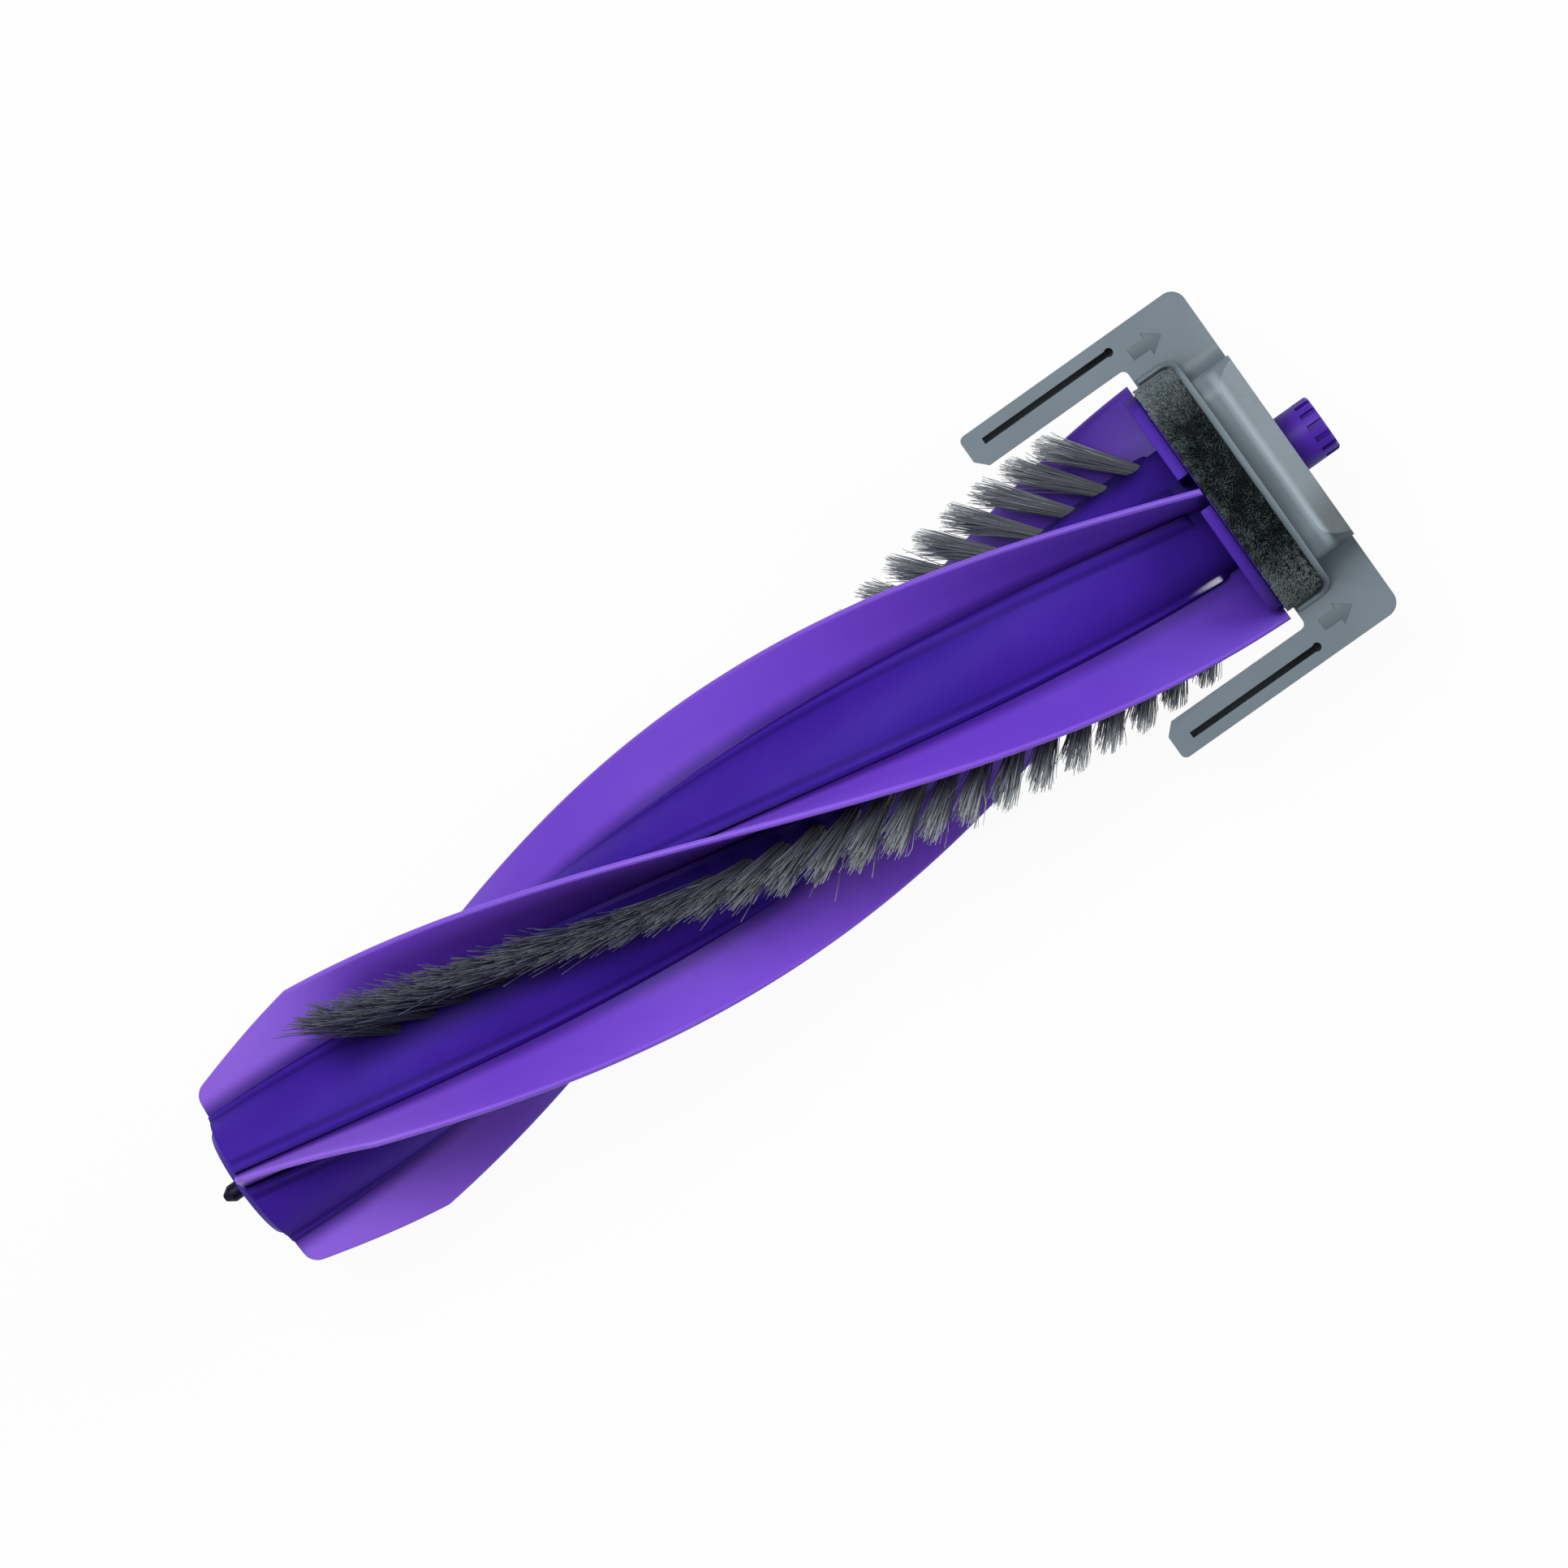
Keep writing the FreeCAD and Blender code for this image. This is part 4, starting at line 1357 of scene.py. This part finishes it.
@dataclass
class PileStrip:
    """Backing and dense short fibres round the bracket's inner rim, with a dark skirt and leaning fibres over
    the gap to the flange that stand in for the shade there.
    """

    low: Vector
    high: Vector
    material: bpy.types.Material
    thickness: float = 1.4 * MM
    fibre: float = 0.17 * MM
    taper: float = 0.6
    backing: float = 0.5 * MM
    backing_steps: int = 60
    fibres: int = 9000
    crowding: float = 1.9
    arc: float = math.radians(162.0)
    arc_margin: float = 0.008
    clump: float = 1.2 * MM
    clump_lean: float = 0.6 * MM
    clump_height: float = 0.4 * MM
    lean_scatter: float = 0.14 * MM
    height_scatter: float = 0.10 * MM
    shadow_skirt: float = 0.7 * MM
    fray_width: float = 0.95 * MM
    fray_reach: float = 2.0 * MM
    fray_least: float = 0.7
    seed_step: int = 11

    def fibre_line(self, draw: random.Random, seat: float, first: float) -> list[Vector]:
        """The line of one fibre, which leans with its clump and out over the strip's inner edge.

        Args:
            draw: The source of the fibre's place and small differences.
            seat: The radius of the strip's seat.
            first: The angle at which the strip starts.

        Returns:
            Its root and its tip.
        """
        room = self.high.x - self.low.x - 2 * self.fibre
        along = self.low.x + self.fibre + room * draw.random() ** self.crowding
        angle = draw.uniform(first + self.arc_margin, first + self.arc - self.arc_margin)
        radial, tangent = around(0.0, 1.0, angle), around(0.0, 1.0, angle + QUARTER)
        root = AXIS * along + radial * (seat + 0.5 * self.backing)
        swirl = noise.noise_vector(root / self.clump)
        forward = self.clump_lean * swirl.x + draw.gauss(0, self.lean_scatter)
        sideways = self.clump_lean * swirl.y + draw.gauss(0, self.lean_scatter)
        length = self.thickness - 0.5 * self.backing
        short = abs(draw.gauss(0, self.height_scatter)) + self.clump_height * abs(swirl.z)
        # Fibres near the inner edge fray out over the gap to the flange; this is partly real fraying and
        # partly a dark cover that stands in for the shade in the gap.
        inset = (along - self.low.x) / self.fray_width
        if inset < 1.0:
            forward = -draw.uniform(self.fray_least, 1.0) * (1.0 - inset) * self.fray_reach
            short = 0.0
        tip = root + radial * (length - short) + AXIS * forward + tangent * sideways
        tip.x = min(tip.x, self.high.x)
        return [root, tip]

    def build(self) -> None:
        """Builds and dresses the backing and its fibres."""
        draw = random.Random(SEED + self.seed_step)
        noise.seed_set(SEED)
        seat = self.high.z - self.thickness
        first = QUARTER - self.arc / 2
        work = Workpiece()
        # The backing runs on past the strip's inner edge as a dark skirt over the gap to the flange, a sheet
        # that stands in for the shade there.
        edge, top = self.low.x - self.shadow_skirt, seat + self.backing
        corners = [(edge, seat), (self.high.x, seat), (self.high.x, top), (edge, top)]
        edges = work.outline(around(x, radius, first) for x, radius in corners)
        work.fill(edges)
        work.fill(work.screw(edges, self.arc, 0.0, self.backing_steps))
        dress(work.piece("pile_backing"), Body.BRACKET, Slot.PILE, self.material)
        strands = [self.fibre_line(draw, seat, first) for _ in range(self.fibres)]
        piece = strands_piece("pile_fibres", strands, self.fibre, self.taper)
        dress(piece, Body.BRACKET, Slot.PILE, self.material, "pile_strip")


@dataclass
class BracketTrim:
    """Raised arrows on the bracket's wings and the bead round the pile."""

    pile_low: Vector
    pile_high: Vector
    arrow_material: bpy.types.Material
    material: bpy.types.Material
    wing_top: float = WING_TOP
    arrow_place: tuple[float, float] = (172.2 * MM, 23.1 * MM)
    arrow_length: float = 5.2 * MM
    arrow_head: float = 2.4 * MM
    arrow_width: float = 3.6 * MM
    arrow_shaft: float = 1.8 * MM
    arrow_height: float = 0.07 * MM
    arrow_sunk: float = 0.1 * MM
    arrow_edge: float = 0.06 * MM
    bead: float = 0.5 * MM
    bead_roundness: int = 3
    bead_radius: float = 18.5 * MM
    bead_end_radius: float = 19.55 * MM
    bead_round: float = 2.2 * MM
    corner_steps: int = 8
    arch_steps: int = 30

    def arrow(self, name: str, side: float) -> None:
        """Builds the arrow on one wing, which points towards the drive stub.

        Args:
            name: The arrow's name.
            side: 1 for the wing on +Y, -1 for the other.
        """
        x, y = self.arrow_place
        tail, point = x - self.arrow_length / 2, x + self.arrow_length / 2
        neck = point - self.arrow_head
        half, shaft = self.arrow_width / 2, self.arrow_shaft / 2
        outline = [(tail, -shaft), (neck, -shaft), (neck, -half), (point, 0.0), (neck, half), (neck, shaft),
                   (tail, shaft)]
        work = Workpiece()
        base = self.wing_top - self.arrow_sunk
        edges = work.outline(Vector((px, side * y + py, base)) for px, py in outline)
        face = bmesh.ops.contextual_create(work.bm, geom=edges)["faces"][0]
        front = work.draw_out(face, HIGH * (self.arrow_height + self.arrow_sunk))
        work.soften([e for e in work.bm.edges if all(v in front for v in e.verts)], self.arrow_edge)
        dress(work.piece(name), Body.BRACKET, Slot.BRACKET, self.arrow_material)

    def bead_line(self) -> list[Vector]:
        """The bead's line: in along one wing, round a corner, over the arch and out along the other.

        Returns:
            Its points in order.
        """
        end_x = self.pile_high.x + self.bead
        low = math.asin(self.wing_top / self.bead_end_radius)
        rise = self.bead_round / self.bead_end_radius
        half = [around(self.pile_low.x, self.bead_end_radius, low)]
        for k in range(self.corner_steps + 1):
            turn = QUARTER * k / self.corner_steps
            inward = 1.0 - math.cos(turn)
            radius = self.bead_end_radius + (self.bead_radius - self.bead_end_radius) * inward
            half.append(around(end_x - self.bead_round * (1.0 - math.sin(turn)), radius, low + rise * inward))
        top = low + rise
        for k in range(1, self.arch_steps + 1):
            half.append(around(end_x, self.bead_radius, top + (QUARTER - top) * k / self.arch_steps))
        return half + [Vector((p.x, -p.y, p.z)) for p in reversed(half[:-1])]

    def build(self) -> None:
        """Builds and dresses the trim."""
        self.arrow("flow_arrow_left", 1.0)
        self.arrow("flow_arrow_right", -1.0)
        bead = strands_piece("pile_bead", [self.bead_line()], 2 * self.bead, 1.0, self.bead_roundness)
        dress(bead, Body.BRACKET, Slot.BRACKET, self.material)


@dataclass(frozen=True, kw_only=True)
class Lamp:
    """A square soft lamp, placed from the brush's middle by directions of the picture and the axis."""

    name: str
    size: float
    watts: float
    high: float
    up: float = 0.0
    left: float = 0.0
    along: float = 0.0


@dataclass
class Studio:
    """Pale floor, soft light and the camera over the brush."""

    floor_height: float
    view_place: Vector = field(default_factory=lambda: Vector((0.167, 0.0022, 0.970)))
    view_target: Vector = field(default_factory=lambda: Vector((0.0951, 0.0022, 0.0)))
    view_roll: float = math.radians(35.37)
    view_width: float = 220.8 * MM
    view_depth: float = 100.0
    sensor: float = 36.0
    floor_size: float = 6.0
    floor_grey: float = 0.8
    floor_glow: float = 0.95
    sky: float = 0.225
    lamps: tuple[Lamp, ...] = (
        Lamp(name="key_lamp", size=0.45, watts=6.0, up=0.28, left=0.28, high=0.90),
        Lamp(name="fill_lamp", size=0.6, watts=1.1, up=-0.55, left=0.65, high=0.45),
        Lamp(name="stub_lamp", size=0.4, watts=3.5, along=0.75, high=0.40),
    )

    def up(self) -> Vector:
        """The direction in the row frame that is up in the picture."""
        return Vector((math.sin(self.view_roll), math.cos(self.view_roll), 0.0))

    def floor(self) -> None:
        """A wide pale floor that shows white and keeps a soft shadow."""
        work = Workpiece()
        bmesh.ops.create_grid(work.bm, x_segments=1, y_segments=1, size=self.floor_size / 2,
                              matrix=Matrix.Translation((self.view_target.x, 0.0, self.floor_height)))
        floor = work.piece("studio_floor", closed=False)
        made = bpy.data.materials.new("pale_floor")
        graph = Graph(made)
        camera, glossy, through = (graph.node("ShaderNodeLightPath", output=f"Is {ray} Ray")
                                   for ray in ("Camera", "Glossy", "Transmission"))
        seen = graph.least(camera + glossy + through, 1.0)
        grey = (self.floor_grey, self.floor_grey, self.floor_grey, 1.0)
        matt = graph.node("ShaderNodeBsdfDiffuse", None, {"Color": grey})
        glow = graph.node("ShaderNodeEmission", None, {"Color": WHITE, "Strength": 1.0})
        shown = graph.node("ShaderNodeMixShader", None, {0: self.floor_glow * seen, 1: matt, 2: glow})
        graph.node("ShaderNodeOutputMaterial", None, {"Surface": shown})
        floor.data.materials.append(made)

    def light(self) -> None:
        """A broad lamp from the top left, weaker ones below it and beyond the stub, and a sky."""
        left = HIGH.cross(self.up())
        for lamp in self.lamps:
            data = bpy.data.lights.new(lamp.name, "AREA")
            data.size = lamp.size
            data.energy = lamp.watts
            away = self.up() * lamp.up + left * lamp.left + AXIS * lamp.along + HIGH * lamp.high
            placed = place_object(lamp.name, data)
            placed.location = self.view_target + away
            placed.rotation_euler = (-away).to_track_quat("-Z", "Y").to_euler()
        world = bpy.data.worlds.new("studio_sky")
        bpy.context.scene.world = world
        graph = Graph(world)
        sky = graph.node("ShaderNodeBackground", None, {"Color": WHITE, "Strength": self.sky})
        graph.node("ShaderNodeOutputWorld", None, {"Surface": sky})

    def camera(self) -> None:
        """The camera over the bracket's end, turned so that the brush lies aslant in the picture."""
        data = bpy.data.cameras.new("view")
        data.sensor_width = self.sensor
        ahead = self.view_target - self.view_place
        data.lens = self.sensor * ahead.length / self.view_width
        data.clip_end = self.view_depth
        camera = place_object("view", data)
        back = -ahead.normalized()
        right = self.up().cross(back).normalized()
        turned = Matrix((right, back.cross(right), back)).transposed().to_4x4()
        camera.matrix_world = Matrix.Translation(self.view_place) @ turned
        bpy.context.scene.camera = camera

    def build(self) -> None:
        """Sets up the floor, the light and the camera."""
        self.floor()
        self.light()
        self.camera()
        bpy.context.scene.view_settings.view_transform = "Standard"


CORE_PURPLE, CORE_SHADE = (0.057, 0.016, 0.365), (0.047, 0.013, 0.318)
CAP_PLASTIC = MouldedPlastic(name="purple_cap_plastic", colour=CORE_PURPLE, shade=CORE_SHADE, roughness=0.5,
                             specular=0.2)
STUB_PLASTIC = MouldedPlastic(name="purple_stub_plastic", colour=(0.076, 0.019, 0.390),
                              shade=(0.066, 0.017, 0.355), roughness=0.45, specular=0.2)
FIN_RUBBER = SoftRubber(name="soft_purple_rubber", idle_light_colour=(0.285, 0.124, 0.770),
                        colour=(0.172, 0.056, 0.630), drive_shade_colour=(0.108, 0.036, 0.484),
                        root_colour=(0.053, 0.013, 0.277), tip_colour=(0.270, 0.124, 0.780))
TUFT_NYLON = NylonFilament(name="grey_nylon", root_colour=(0.028, 0.029, 0.045),
                           colour=(0.068, 0.072, 0.106), tip_colour=(0.470, 0.505, 0.510))
# The bracket's grey carries a painted highlight on the hood's crest and painted shade on one end of its
# slope.
BRACKET_GREY = PaintedLightPlastic(name="grey_bracket_plastic", colour=(0.151, 0.196, 0.227),
                             shade=(0.136, 0.178, 0.206), pale=(0.40, 0.47, 0.52), roughness=0.44,
                             specular=0.45, grain_scale=1500.0)
ARROW_GREY = MouldedPlastic(name="grey_arrow_plastic", colour=(0.110, 0.145, 0.169),
                            shade=(0.101, 0.136, 0.158), roughness=0.5)
DARK_PILE = DensePile(name="dark_pile", dark=(0.011, 0.015, 0.016), pale=(0.082, 0.108, 0.115),
                      lit_end_colour=(0.280, 0.335, 0.350))
DARK_STEEL = BareMetal(name="dark_steel", colour=(0.024, 0.019, 0.042), roughness=0.5)
STAPLE_WIRE = BareMetal(name="staple_wire", colour=(0.55, 0.55, 0.56), roughness=0.35)
BRONZE = BareMetal(name="sintered_bronze", colour=(0.55, 0.36, 0.17), roughness=0.5)
SLICK_PLASTIC = MouldedPlastic(name="slick_washer_plastic", colour=(0.80, 0.80, 0.76),
                               shade=(0.74, 0.74, 0.70), roughness=0.4)
# How far short of the core's drive end the painted glint on the lip's nose ends.
GLINT_GAP = 5.8 * MM
BRACKET_EDGE = 0.3 * MM


def main() -> None:
    """Builds the brush piece by piece, then the studio."""
    logging.basicConfig(level=logging.INFO, format="%(name)s: %(message)s")
    core_low, core_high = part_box("roller_core")
    helix = Helix(core_low.x)
    # The core's crease colour is painted shade, and its glint colour a painted highlight.
    core_plastic = CorePlastic(name="deep_purple_plastic", helix=helix, colour=CORE_PURPLE, shade=CORE_SHADE,
                               crease=(0.011, 0.003, 0.100), glint_colour=(0.950, 0.920, 0.980),
                               flange_colour=(0.110, 0.043, 0.480), glint_end=core_high.x - GLINT_GAP)
    CoreMoulding(helix, core_high.x, core_high.y, core_plastic.material()).build()
    fin_rubber = FIN_RUBBER.material()
    for number in range(FIN_COUNT):
        fin_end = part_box(f"wiper_fin_{number + 1}")[1].x
        WiperFin(helix, number, fin_end, fin_rubber).build()
    nylon, wire = TUFT_NYLON.material(), STAPLE_WIRE.material()
    for number in range(ROW_COUNT):
        TuftRow(helix, number, nylon).build()
        paint(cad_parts[f"tuft_anchors_{number + 1}"], wire)
    steel = DARK_STEEL.material()
    for node, name, body, slot, material, edge in (
        ("idle_end_cap", "hub_cap", Body.ROLLER, Slot.CORE, CAP_PLASTIC.material(), 0.3),
        ("idle_pin", "axle_pin", Body.ROLLER, Slot.PIN, steel, 0.15),
        ("drive_coupling", "drive_stub", Body.ROLLER, Slot.CORE, STUB_PLASTIC.material(), 0.1),
        ("thrust_washer", "slip_washer", Body.ROLLER, Slot.WASHER, SLICK_PLASTIC.material(), 0.1),
        ("retaining_ring", "snap_ring", Body.ROLLER, Slot.PIN, steel, 0.08),
        ("journal_bush", "bearing_bush", Body.BRACKET, Slot.BUSH, BRONZE.material(), 0.1),
    ):
        TurnedPiece(node, name, body, slot, material, edge * MM).build()
    grey = BRACKET_GREY.material()
    BracketMoulding("end_bracket", "bracket_moulding", Body.BRACKET, Slot.BRACKET, grey, BRACKET_EDGE).build()
    pile_low, pile_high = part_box("pile_strip")
    PileStrip(pile_low, pile_high, DARK_PILE.material()).build()
    BracketTrim(pile_low, pile_high, ARROW_GREY.material(), grey).build()
    Studio(CAD_BOX[0].z).build()


if __name__ == "__main__":
    main()
